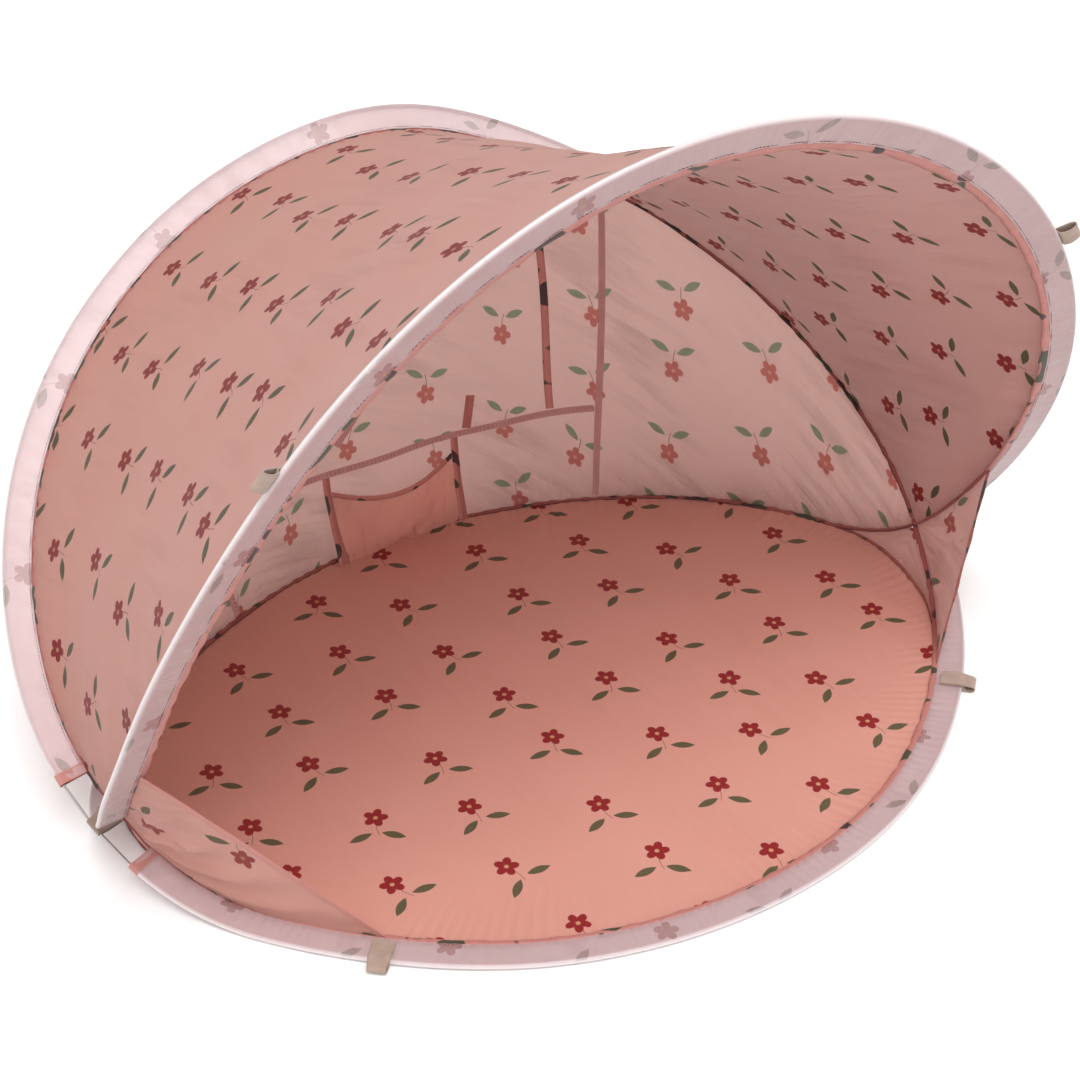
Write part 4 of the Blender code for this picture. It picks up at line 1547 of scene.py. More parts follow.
class StitchTree:
    """The node tree that lays stitches along paths."""

    thread_sides: int = 5
    size_spread: tuple[float, float] = (0.85, 1.08)

    def __init__(self) -> None:
        """Builds the tree with its named inputs."""
        self.tree = bpy.data.node_groups.new("lay_stitches", "GeometryNodeTree")
        face = self.tree.interface
        face.new_socket("Geometry", in_out="INPUT", socket_type="NodeSocketGeometry")
        self.ids = {}
        for name, kind in (
            ("Stitch Length", "NodeSocketFloat"),
            ("Stitch Step", "NodeSocketFloat"),
            ("Thread Radius", "NodeSocketFloat"),
            ("Turn", "NodeSocketFloat"),
            ("Seed", "NodeSocketInt"),
            ("Thread", "NodeSocketMaterial"),
        ):
            self.ids[name] = face.new_socket(name, in_out="INPUT", socket_type=kind).identifier
        face.new_socket("Geometry", in_out="OUTPUT", socket_type="NodeSocketGeometry")
        self.wire_up()

    def wire_up(self) -> None:
        """Adds the tree's nodes and links."""
        nodes, links = self.tree.nodes, self.tree.links
        given = nodes.new("NodeGroupInput").outputs
        curve = nodes.new("GeometryNodeMeshToCurve")
        links.new(given["Geometry"], curve.inputs[0])
        points = nodes.new("GeometryNodeCurveToPoints")
        points.mode = "LENGTH"
        links.new(curve.outputs[0], points.inputs["Curve"])
        links.new(given["Stitch Step"], points.inputs["Length"])
        stitch = nodes.new("GeometryNodeMeshCylinder")
        stitch.fill_type = "TRIANGLE_FAN"
        stitch.inputs["Vertices"].default_value = self.thread_sides
        links.new(given["Thread Radius"], stitch.inputs["Radius"])
        links.new(given["Stitch Length"], stitch.inputs["Depth"])
        turn = nodes.new("FunctionNodeAxisAngleToRotation")
        turn.inputs[0].default_value = (1.0, 0.0, 0.0)
        links.new(given["Turn"], turn.inputs[1])
        facing = nodes.new("FunctionNodeRotateRotation")
        facing.rotation_space = "LOCAL"
        links.new(points.outputs["Rotation"], facing.inputs[0])
        links.new(turn.outputs[0], facing.inputs[1])
        size = nodes.new("FunctionNodeRandomValue")
        size.data_type = "FLOAT"
        size.inputs[2].default_value = self.size_spread[0]
        size.inputs[3].default_value = self.size_spread[1]
        links.new(given["Seed"], size.inputs["Seed"])
        placed = nodes.new("GeometryNodeInstanceOnPoints")
        links.new(points.outputs["Points"], placed.inputs["Points"])
        links.new(stitch.outputs["Mesh"], placed.inputs["Instance"])
        links.new(facing.outputs[0], placed.inputs["Rotation"])
        links.new(size.outputs[1], placed.inputs["Scale"])
        real = nodes.new("GeometryNodeRealizeInstances")
        links.new(placed.outputs[0], real.inputs[0])
        finish = nodes.new("GeometryNodeSetMaterial")
        links.new(real.outputs[0], finish.inputs["Geometry"])
        links.new(given["Thread"], finish.inputs["Material"])
        links.new(finish.outputs[0], nodes.new("NodeGroupOutput").inputs[0])

    def sew(
        self, name: str, paths: list[Points], size: StitchSize, thread: bpy.types.Material, seed: int
    ) -> Object:
        """Lays stitches along paths and returns them as one plain mesh.

        Args:
            name: The new piece's name.
            paths: Lines of points.
            size: The stitch to use.
            thread: The thread's material.
            seed: Makes the stitches slightly uneven, the same on each run.

        Returns:
            The piece, which rides on nothing yet.
        """
        mesh = bpy.data.meshes.new(name)
        points, edges, start = [], [], 0
        for path in paths:
            points += np.asarray(path).tolist()
            edges += [(start + i, start + i + 1) for i in range(len(path) - 1)]
            start += len(path)
        mesh.from_pydata(points, edges, [])
        guide = bpy.data.objects.new(f"{name}_guide", mesh)
        bpy.context.scene.collection.objects.link(guide)
        modifier = guide.modifiers.new("stitches", "NODES")
        modifier.node_group = self.tree
        values = {
            "Stitch Length": size.length,
            "Stitch Step": size.step,
            "Thread Radius": size.thread / 2,
            "Turn": size.turn,
            "Seed": seed,
            "Thread": thread,
        }
        for key, value in values.items():
            modifier[self.ids[key]] = value
        bpy.context.view_layer.update()
        graph = bpy.context.evaluated_depsgraph_get()
        made = bpy.data.meshes.new_from_object(guide.evaluated_get(graph))
        made.name = name
        bpy.data.objects.remove(guide)
        piece = bpy.data.objects.new(name, made)
        bpy.context.scene.collection.objects.link(piece)
        return piece


# Sub-assemblies


@dataclass
class Workshop:
    """What the sub-assemblies share: the rings, the finishes and the stitch tree."""

    rings: dict[str, HalfRing]
    finishes: FinishSet
    stitches: StitchTree
    made: list[str] = field(default_factory=list)

    def done(self, piece: Object) -> None:
        """Reports a finished piece."""
        self.made.append(piece.name)
        log.info("%s: %d faces", piece.name, len(piece.data.polygons))


@dataclass
class SpringWires:
    """The wires and the crimped tubes, which keep their own shape and get drawn steel."""

    nodes: tuple[str, ...] = (
        "front_floor_wire", "rear_arch_wire", "back_floor_wire", "front_arch_wire",
        "front_floor_ferrule", "back_floor_ferrule",
    )

    def build(self, shop: Workshop) -> None:
        """Dresses the nodes.

        Args:
            shop: What the sub-assemblies share.
        """
        for name in self.nodes:
            node = frame["nodes"][name]
            for slot in node.material_slots:
                slot.material = shop.finishes.steel
            shop.done(node)


@dataclass
class CordedSleeves:
    """Light cloth folded round each wire and sewn together along the seam."""

    cloth: float = 0.0004
    wire_gap: float = 0.0035
    mouth: float = 0.0016
    hem_reach: float = 0.0302
    open_notch: float = 0.062
    closed_notch: float = 0.016
    hem_width: float = 0.013
    hem_lift: float = 0.0006
    spacing: float = 0.0036
    flat_steps: int = 7
    arc_steps: int = 8
    ruffle: float = 0.0011
    opening_curve: float = 2.2
    least_steps: int = 3
    hem_flat: float = 0.008
    hem_ruffle: float = 0.25
    hem_overlap: float = 0.0008
    # Added to the declared cuts beyond the modelled cloth
    declared_extra: float = 0.004
    declared_hem_extra: float = 0.001
    ruffle_reach: float = 1.0
    gathers: tuple[tuple[str, int, float, float], ...] = (
        ("front_floor", 11, 0.0125, 1.9), ("back_floor", 12, 0.018, 0.8),
        ("rear_arch", 13, 0.034, 0.8), ("front_arch", 14, 0.040, 0.7),
    )

    def section(self, grow: float) -> tuple[Points, Points]:
        """The sleeve's section: reaches and lifts, from one hem round the wire to the other.

        Args:
            grow: How far it stands off the sleeve's own line.

        Returns:
            The reaches from the wire's centre, and the lifts square to them.
        """
        radius, mouth = self.wire_gap + grow, self.mouth + grow
        top_reach = np.linspace(self.hem_reach, 0, self.flat_steps + 1)
        share = 1 - top_reach / self.hem_reach
        lift = mouth + (radius - mouth) * share**self.opening_curve
        angles = np.linspace(math.pi / 2, 3 * math.pi / 2, self.arc_steps + 1)[1:-1]
        reach = np.concatenate([top_reach, radius * np.cos(angles), top_reach[::-1]])
        return reach, np.concatenate([lift, radius * np.sin(angles), -lift[::-1]])

    def grid(
        self, half: HalfRing, start: float, end: float, grow: float, ruffle: Puckers | None
    ) -> ClothGrid:
        """The sleeve's cloth between two lengths along its wire.

        Args:
            half: The half ring inside it.
            start: Where it starts, from the left crossing.
            end: Where it ends.
            grow: How far it stands off the sleeve's own line.
            ruffle: Its gathers, if it has any.

        Returns:
            The cloth.
        """
        steps = max(self.least_steps, round((end - start) / self.spacing))
        run = np.linspace(start, end, steps + 1)
        centres, _, inward, across = half.axes_at(run)
        reach, lift = self.section(grow)
        run_grid = np.repeat(run[None, :], len(reach), axis=0)
        spread = np.cumsum(np.concatenate([[0.0], np.hypot(np.diff(reach), np.diff(lift))]))
        lifts = np.repeat(lift[:, None], len(run), axis=1)
        if ruffle is not None:
            open_share = np.clip(reach / self.hem_reach, 0, 1)
            open_share = open_share * np.clip((self.hem_reach - reach) / self.hem_flat, self.hem_ruffle, 1)
            waves = ruffle.beside(run_grid, np.zeros_like(run_grid)) + ruffle.height / 2
            freedom = np.sqrt(np.clip(open_share, 0, 1))[:, None]
            lifts = lifts + np.sign(lift)[:, None] * np.maximum(waves, 0) * freedom
        points = centres[None] + reach[:, None, None] * inward[None] + lifts[..., None] * across[None]
        flat = np.stack([run_grid, np.repeat(spread[:, None], len(run), axis=1)], axis=-1)
        return ClothGrid(points, flat)

    def build(self, shop: Workshop) -> None:
        """Makes the four sleeves, and hems at the ends of the two outer ones.

        Args:
            shop: What the sub-assemblies share.
        """
        gathers = {
            name: Puckers(seed, pitch, self.ruffle * rise, self.ruffle_reach)
            for name, seed, pitch, rise in self.gathers
        }
        for name, half in shop.rings.items():
            notch = self.open_notch if name in ("front_floor", "rear_arch") else self.closed_notch
            grid = self.grid(half, notch, half.length - notch, 0.0, gathers[name])
            # The front arch's sleeve takes the darker copy of the sleeve cloth, which is painted shade
            finish = shop.finishes.arch_sleeve if name == "front_arch" else shop.finishes.sleeve
            piece = dress(grid.shell(f"{name}_sleeve_cloth", self.cloth), finish, "sleeve_cloth")
            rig.ride(piece, half.body.value)
            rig.replaces(piece, f"{name}_sleeve")
            width = round(float(grid.flat[-1, 0, 1]) + self.declared_extra, 3)
            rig.sheet(
                piece,
                flat=(width, round(half.length - 2 * notch, 3)),
                held="stretched",
                rests_on=[f"{name}_wire", f"{name}_seam_piping"],
            )
            shop.done(piece)
            if notch == self.open_notch:
                self.build_hems(shop, half, notch)

    def build_hems(self, shop: Workshop, half: HalfRing, notch: float) -> None:
        """Makes the folded hems at both ends of a sleeve.

        Args:
            shop: What the sub-assemblies share.
            half: The half ring.
            notch: How far from the crossing the sleeve starts.
        """
        for side in Side:
            seen = half.seen_from(side)
            grid = self.grid(seen, notch - self.hem_overlap, notch + self.hem_width, self.hem_lift, None)
            piece = grid.shell(f"{half.name}_sleeve_hem_{side.label}", self.cloth)
            dress(piece, shop.finishes.hem, "sleeve_cloth")
            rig.ride(piece, half.body.value)
            length = round(self.hem_width + self.declared_hem_extra, 3)
            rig.sheet(
                piece,
                flat=(round(float(grid.flat[-1, 0, 1]), 3), length),
                held="folded",
                rests_on=[f"{half.name}_sleeve_cloth"],
            )
            shop.done(piece)


@dataclass(frozen=True)
class Band:
    """A narrow folded band with rounded edges, swept along a line, with a mask for painted shade near its ends."""

    half_width: float
    half_thickness: float
    sides: int = 12
    wobble: float = 0.26
    seed: int = 7
    end_reach: float = 0.24
    end_fade: float = 0.06
    knot_step: float = 0.012
    knot_spare: float = 0.03
    end_share: float = 0.7

    def sweep(self, name: str, path: Points, wide: Points, thin: Points) -> Object:
        """Sweeps the band.

        Args:
            name: The new object's name.
            path: The line's points.
            wide: At each point, the unit direction of the band's width.
            thin: At each point, the unit direction of its thickness.

        Returns:
            The band, closed at both ends.
        """
        dice = np.random.default_rng(self.seed)
        run = lengths_along(path)
        knots = np.arange(0, run[-1] + self.knot_spare, self.knot_step)
        uneven = 1 + self.wobble * np.interp(run, knots, dice.uniform(-1, 1, len(knots)))
        uneven[0] = uneven[-1] = self.end_share
        angles = np.linspace(0, 2 * math.pi, self.sides, endpoint=False)
        across = self.half_width * np.cos(angles)[None, :, None] * wide[:, None]
        up = self.half_thickness * np.sin(angles)[None, :, None] * thin[:, None]
        places = (path[:, None] + (across + up) * uneven[:, None, None]).reshape(-1, 3)
        index = np.arange(len(places)).reshape(len(path), self.sides)
        index = np.concatenate([index, index[:, :1]], axis=1)
        faces = grid_quads(index).tolist() + [index[0, :-1][::-1].tolist(), index[-1, :-1].tolist()]
        runs = np.repeat(run[:, None], self.sides, axis=1)
        spans = np.repeat(self.half_width * np.cos(angles)[None], len(path), axis=0)
        piece = mesh_object(name, places, faces, np.stack([runs, spans], axis=-1).reshape(-1, 2))
        # Mask for painted shade, strongest at the band's ends
        from_end = np.minimum(runs, run[-1] - runs).ravel()
        near_end = piece.data.attributes.new("near_end", "FLOAT", "POINT")
        near_end.data.foreach_set("value", np.clip((self.end_reach - from_end) / self.end_fade, 0, 1))
        return piece


@dataclass
class SeamPipings:
    """The folded binding in the seam of each sleeve, with the row of stitches beside it."""

    band: Band = Band(half_width=0.0042, half_thickness=0.0021)
    arch_band: Band = Band(half_width=0.0066, half_thickness=0.0019)
    inset: float = 0.0012
    break_length: float = 0.001
    spacing: float = 0.004
    stitch: StitchSize = StitchSize()
    stitch_inset: float = 0.0042
    ground_ease: float = 1.1
    first_stitch_seed: int = 20
    open_stitch_notch: float = 0.066
    closed_stitch_notch: float = 0.022
    stitch_path_step: float = 0.01
    stitch_lift: float = 0.0021

    def build(self, shop: Workshop) -> None:
        """Makes the binding and the stitches of each half ring.

        Args:
            shop: What the sub-assemblies share.
        """
        for number, (name, half) in enumerate(shop.rings.items()):
            steps = round((half.length - 2 * self.break_length) / self.spacing)
            run = np.linspace(self.break_length, half.length - self.break_length, steps + 1)
            centres, _, inward, across = half.axes_at(run)
            band = self.arch_band if name == "front_arch" else self.band
            path = centres + (half.sleeve_width + self.inset) * inward
            path[:, 2] = np.maximum(path[:, 2], band.half_thickness * self.ground_ease)
            piece = replace(band, seed=number).sweep(f"{name}_seam_piping", path, inward, across)
            finish = shop.finishes.pale_piping if name.startswith("front") else shop.finishes.piping
            dress(piece, finish, "piping_cloth")
            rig.ride(piece, half.body.value)
            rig.replaces(piece, f"{name}_piping")
            shop.done(piece)
            self.build_stitches(shop, half, self.first_stitch_seed + number)

    def build_stitches(self, shop: Workshop, half: HalfRing, seed: int) -> None:
        """Sews the row that closes the sleeve, on both of its faces.

        Args:
            shop: What the sub-assemblies share.
            half: The half ring.
            seed: Makes the stitches slightly uneven, the same on each run.
        """
        is_open = half.name in ("front_floor", "rear_arch")
        notch = self.open_stitch_notch if is_open else self.closed_stitch_notch
        steps = round(half.length / self.stitch_path_step)
        run = np.linspace(notch, half.length - notch, steps)
        centres, _, inward, across = half.axes_at(run)
        reach = half.sleeve_width - self.stitch_inset
        paths = [centres + reach * inward + sign * self.stitch_lift * across for sign in (-1, 1)]
        thread = shop.finishes.pale_thread if half.name == "front_floor" else shop.finishes.dark_thread
        piece = shop.stitches.sew(f"{half.name}_seam_stitches", paths, self.stitch, thread, seed)
        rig.slot(piece, "piping_cloth")
        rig.ride(piece, half.body.value)
        shop.done(piece)


def face_out(mesh: bpy.types.Mesh) -> None:
    """Turns a closed mesh's faces outwards, by the sign of its volume.

    Args:
        mesh: The closed mesh.
    """
    mesh.calc_loop_triangles()
    places = np.zeros(len(mesh.vertices) * 3)
    mesh.vertices.foreach_get("co", places)
    corners = np.zeros(len(mesh.loop_triangles) * 3, int)
    mesh.loop_triangles.foreach_get("vertices", corners)
    a, b, c = places.reshape(-1, 3)[corners.reshape(-1, 3)].transpose(1, 0, 2)
    if np.einsum("ij,ij->i", a, np.cross(b, c)).sum() < 0:
        mesh.flip_normals()


def set_back(seam: Points, other: Points, clearance: float) -> Points:
    """Points moved from a seam towards another one until they are clear of its piping.

    Args:
        seam: The points to move.
        other: For each, the point that it moves towards.
        clearance: How far it ends up from the seam.

    Returns:
        The moved points.
    """
    along = unit(np.gradient(seam, axis=0))
    way = unit(other - seam)
    square = way - np.sum(way * along, axis=1, keepdims=True) * along
    squareness = np.maximum(np.linalg.norm(square, axis=1, keepdims=True), LEAST_SQUARENESS)
    return seam + way * clearance / squareness


@dataclass
class StretchedPanel:
    """A taut panel between two seams, narrow at the crossings and wide in the middle."""

    name: str
    node: str
    upper: str
    lower: str
    waist: float
    columns: int
    rows: int
    corner: float = 0.008
    clearance: float = 0.0012
    cloth: float = 0.0005
    pivot: tuple[float, float, float] = CROSSING_PIVOT
    seam_steps: int = 2400
    rim_crowding: float = 0.25

    def grid(self, shop: Workshop) -> tuple[ClothGrid, Points, Points]:
        """The panel's cloth before its creases.

        Args:
            shop: The shared workshop.

        Returns:
            The cloth, and each point's distance from the upper and from the lower seam.
        """
        first, second = shop.rings[self.upper].seam, shop.rings[self.lower].seam
        shares = np.linspace(0, 1, self.seam_steps)
        one = at_lengths(first, shares * lengths_along(first)[-1])
        two = at_lengths(second, shares * lengths_along(second)[-1])
        inside = np.nonzero(np.linalg.norm(two - one, axis=1) > self.corner)[0]
        picked = np.linspace(inside[0], inside[-1], self.columns + 1).round().astype(int)
        one, two = one[picked], two[picked]
        span = np.linalg.norm(two - one, axis=1)
        one, two = set_back(one, two, self.clearance), set_back(two, one, self.clearance)
        share = np.linspace(0, 1, self.rows + 1)
        swing = np.cos(math.pi * share)
        share = 0.5 - 0.5 * swing * (1 - self.rim_crowding + self.rim_crowding * np.abs(swing))
        share = (share - share[0]) / (share[-1] - share[0])
        share = share[:, None, None]
        points = one[None] * (1 - share) + two[None] * share
        pull = unit(np.array(self.pivot) - points)
        depth = 4 * share * (1 - share) * self.waist * (span / span.max())[None, :, None]
        points = points + pull * depth
        middle = (one + two) / 2
        run = lengths_along(middle)
        flat_run = np.repeat((run - run[-1] / 2)[None], self.rows + 1, axis=0)
        flat_across = (share[..., 0] - 0.5) * span[None]
        upper_away = share[..., 0] * span[None]
        cloth = ClothGrid(points, np.stack([flat_run, flat_across], axis=-1))
        return cloth, upper_away, span[None] - upper_away


@dataclass
class Canopy:
    """The printed saddle between the front arch and the rear arch."""

    panel: StretchedPanel = field(
        default_factory=lambda: StretchedPanel(
            "canopy_cloth", "canopy", "front_arch", "rear_arch", waist=0.018, columns=320, rows=120
        )
    )
    gathers: Puckers = Puckers(31, 0.016, 0.0011, 0.030)
    rear_gathers: Puckers = Puckers(32, 0.019, 0.0010, 0.026)
    waves: Ripples = Ripples(33, 0.24, 0.0028)
    strain: Ripples = Ripples(34, 0.055, 0.0010)
    corner_reach: float = 0.14
    rim_reach: float = 0.05
    strain_stretch: float = 0.15
    strain_rise: float = 2.2

    def build(self, shop: Workshop) -> None:
        """Makes the canopy.

        Args:
            shop: What the sub-assemblies share.
        """
        grid, front, rear = self.panel.grid(shop)
        run, across = grid.flat[..., 0], grid.flat[..., 1]
        run_from_end = run - run.min()
        corner = np.exp(-run_from_end / self.corner_reach) + np.exp(-(run.max() - run) / self.corner_reach)
        inner = np.clip(np.minimum(front, rear) / self.rim_reach, 0, 1)
        height = self.waves.over(run, across) * inner
        height = height + self.gathers.beside(run_from_end, front)
        height = height + self.rear_gathers.beside(run_from_end, rear)
        strain = self.strain.over(run * self.strain_stretch, across)
        height = height + strain * corner * inner * self.strain_rise
        grid = grid.lifted(height)
        piece = dress(grid.shell(self.panel.name, self.panel.cloth), shop.finishes.canopy, "canopy_cloth")
        CANOPY_BEND.apply(piece)
        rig.replaces(piece, self.panel.node)
        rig.sheet(
            piece,
            **grid.cut(),
            held="stretched",
            rests_on=["front_arch_seam_piping", "rear_arch_seam_piping"],
        )
        shop.done(piece)


@dataclass
class BackWall:
    """The printed wall between the rear arch and the back of the floor."""

    panel: StretchedPanel = field(
        default_factory=lambda: StretchedPanel(
            "back_wall_cloth", "back_wall", "rear_arch", "back_floor", waist=0.008, columns=300, rows=84
        )
    )
    gathers: Puckers = Puckers(41, 0.022, 0.0015, 0.045)
    foot_gathers: Puckers = Puckers(42, 0.026, 0.0021, 0.055)
    waves: Ripples = Ripples(43, 0.20, 0.0026)
    rim_reach: float = 0.05
    wave_stretch: float = 0.4

    def grid(self, shop: Workshop) -> ClothGrid:
        """The creased wall cloth.

        Args:
            shop: What the sub-assemblies share.

        Returns:
            The cloth.
        """
        grid, upper, lower = self.panel.grid(shop)
        run, across = grid.flat[..., 0], grid.flat[..., 1]
        run_from_end = run - run.min()
        inner = np.clip(np.minimum(upper, lower) / self.rim_reach, 0, 1)
        height = self.waves.over(run, across * self.wave_stretch) * inner
        height = height + self.gathers.beside(run_from_end, upper)
        height = height + self.foot_gathers.beside(run_from_end, lower)
        return grid.lifted(height)

    def build(self, shop: Workshop) -> WallFace:
        """Makes the wall and returns its inner face, which the tapes and the pocket are sewn to.

        Args:
            shop: What the sub-assemblies share.

        Returns:
            The inner face.
        """
        grid = self.grid(shop)
        piece = dress(grid.shell(self.panel.name, self.panel.cloth), shop.finishes.wall, "wall_cloth")
        face = WallFace.of(piece, grid)
        WALL_BEND.apply(piece)
        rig.replaces(piece, self.panel.node)
        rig.sheet(
            piece,
            **grid.cut(),
            held="stretched",
            rests_on=["rear_arch_seam_piping", "back_floor_seam_piping"],
        )
        shop.done(piece)
        return face


@dataclass
class WallFace:
    """The inner face of the back wall, read by distance from the middle and height."""

    tree: BVHTree
    upper: Points
    lower: Points
    start_y: float = CROSSING_PIVOT[1]
    strip_lines: int = 5
    ease: float = 0.0006

    @classmethod
    def of(cls, wall: Object, grid: ClothGrid) -> WallFace:
        """The face of a wall that has just been made.

        Args:
            wall: The wall's object.
            grid: The wall's cloth.

        Returns:
            The face.
        """
        bpy.context.view_layer.update()
        tree = BVHTree.FromObject(wall, bpy.context.evaluated_depsgraph_get())
        return cls(tree, grid.points[0], grid.points[-1])

    def edge_height(self, edge: Points, span: float) -> float:
        """The height of the wall's upper or lower edge at a distance from the middle."""
        inner = edge[edge[:, 0].argmin() : edge[:, 0].argmax() + 1]
        return float(np.interp(span, inner[:, 0], inner[:, 2]))

    def lifted(self, span: float, height: float, lift: float) -> Points:
        """A point that stands a little way in front of the wall.

        Args:
            span: Distance from the tent's middle.
            height: Height above the ground.
            lift: Distance from the wall's face.

        Returns:
            The point.
        """
        low = self.edge_height(self.lower, span) + 2 * self.ease
        high = self.edge_height(self.upper, span) - 2 * self.ease
        start = Vector((span, self.start_y, min(max(height, low), high)))
        point, normal, _, _ = self.tree.ray_cast(start, Vector((0, 1, 0)))
        if point is None:
            point, normal, _, _ = self.tree.find_nearest(start)
        inward = np.array(normal if normal.y < 0 else -normal)
        place = np.array(point)
        place[2] = height
        return place + inward * lift

    def strip(
        self,
        foot: tuple[float, float],
        top: tuple[float, float],
        width: float,
        lift: float,
        bow: float = 0.0,
        step: float = 0.006,
    ) -> ClothGrid:
        """A flat strap on the wall between two places.

        Args:
            foot: Its lower end, as distance from the middle and height.
            top: Its upper end, in the same way.
            width: The strap's width.
            lift: How far its middle layer lies off the wall.
            bow: How far its middle bends sideways.
            step: The step along it.

        Returns:
            The strap's cloth.
        """
        start, end = np.array(foot), np.array(top)
        along = unit(end - start)
        side = np.array([along[1], -along[0]])
        length = float(np.linalg.norm(end - start))
        shares = np.linspace(0, 1, max(3, math.ceil(length / step)) + 1)
        offsets = np.linspace(-width / 2, width / 2, self.strip_lines)
        rows, flat = [], []
        for offset in offsets:
            places = [
                start + (end - start) * share + side * (offset + bow * math.sin(math.pi * share) ** 2)
                for share in shares
            ]
            rows.append([self.lifted(float(span), float(height), lift) for span, height in places])
            flat.append([(share * length, offset) for share in shares])
        return ClothGrid(np.array(rows), np.array(flat))


@dataclass
class GroundSheet:
    """The printed floor, pulled into small gathers along its edge."""

    side_wall_start: float = 0.012
    bridge_ease: float = 0.060
    clearance: float = 0.0023
    top: float = 0.0012
    edge_rise: float = 0.0018
    outline_step: float = 0.0045
    gathers: Puckers = Puckers(51, 0.0150, 0.0017, 0.042)
    waves: Ripples = Ripples(52, 0.22, 0.0008)
    centre: tuple[float, float] = (0.0, -0.03)
    # Declared cut, set close to the outline
    declared_flat: tuple[float, float] = (1.06, 0.78)
    declared_area: float = 0.70
    bridge_steps: int = 42
    rounds: int = 64
    rim_crowding: float = 1.7
    hub_share: float = 0.985
    rise_reach: float = 0.006
    deepest_dip: float = 0.0006

    def outline(self, shop: Workshop) -> Points:
        """The floor's right-hand edge, from the middle of the front to the middle of the back.

        Args:
            shop: What the sub-assemblies share.

        Returns:
            The edge's points.
        """
        right = {}
        for name in ("front_floor", "back_floor"):
            seam = shop.rings[name].seam
            half = seam[len(seam) // 2 :]
            right[name] = half[half[:, 2] < self.side_wall_start]
        start, end = right["front_floor"][-1], right["back_floor"][-1]
        first = start + unit(start - right["front_floor"][-2]) * self.bridge_ease
        second = end + unit(end - right["back_floor"][-2]) * self.bridge_ease
        late = np.linspace(0, 1, self.bridge_steps)[1:-1, None]
        early = 1 - late
        bridge = early**3 * start + 3 * early**2 * late * first
        bridge = bridge + 3 * early * late**2 * second + late**3 * end
        line = np.concatenate([right["front_floor"], bridge, right["back_floor"][::-1]])
        line[:, 2] = 0
        along = unit(np.gradient(line, axis=0))
        return line + self.clearance * np.stack([-along[:, 1], along[:, 0], 0 * along[:, 2]], axis=1)

    def build(self, shop: Workshop) -> None:
        """Makes the floor.

        Args:
            shop: What the sub-assemblies share.
        """
        right = self.outline(shop)
        loop = np.concatenate([right, (right * np.array([-1, 1, 1]))[::-1][1:-1]])
        closed = np.concatenate([loop, loop[:1]])
        total = lengths_along(closed)[-1]
        run = np.linspace(0, total, round(total / self.outline_step), endpoint=False)
        edge = at_lengths(closed, run)
        centre = np.array([*self.centre, 0.0])
        radius = np.linalg.norm(edge - centre, axis=1)
        share = np.linspace(0, 1, self.rounds) ** self.rim_crowding
        share = share[:, None] * self.hub_share
        away = share * radius[None]
        points = edge[None] * (1 - share[..., None]) + centre * share[..., None]
        run_grid = np.repeat(run[None], len(share), axis=0)
        rise = self.edge_rise * np.exp(-away / self.rise_reach)
        puckers = self.gathers.beside(run_grid, away)
        waves = self.waves.over(points[..., 0], points[..., 1]) + self.waves.height
        points[..., 2] = self.top + rise + np.maximum(puckers, -self.deepest_dip) + np.maximum(waves, 0)
        flat = points[..., :2].copy()
        piece = self.slab(points, flat)
        dress(piece, shop.finishes.floor, "floor_cloth")
        FLOOR_BEND.apply(piece)
        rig.replaces(piece, "floor_sheet")
        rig.sheet(
            piece,
            flat=self.declared_flat,
            area=self.declared_area,
            held="stretched",
            rests_on=["front_floor_seam_piping", "back_floor_seam_piping"],
        )
        shop.done(piece)

    def slab(self, top: Points, flat: Points) -> Object:
        """The floor's top with a flat underside, closed at the rim and in the middle.

        Args:
            top: Rows of points, from the rim to the middle.
            flat: Their places on the flat cut.

        Returns:
            The floor.
        """
        rows, columns = top.shape[:2]
        under = top.copy()
        under[..., 2] = 0.0
        hubs = np.array([top[-1].mean(axis=0), under[-1].mean(axis=0)])
        places = np.concatenate([top.reshape(-1, 3), under.reshape(-1, 3), hubs])
        index = np.arange(rows * columns).reshape(rows, columns)
        index = np.concatenate([index, index[:, :1]], axis=1)
        back = rows * columns
        quads = grid_quads(index)
        faces = np.concatenate([quads, quads[:, ::-1] + back, rim_quads(index[0], back)]).tolist()
        last = index[-1]
        for first, second in zip(last[:-1].tolist(), last[1:].tolist()):
            faces.append([first, second, 2 * back])
            faces.append([second + back, first + back, 2 * back + 1])
        hub_flat = flat[-1].mean(axis=0)
        spots = np.concatenate([flat.reshape(-1, 2), flat.reshape(-1, 2), [hub_flat, hub_flat]])
        return mesh_object("floor_cloth_sheet", places, faces, spots)


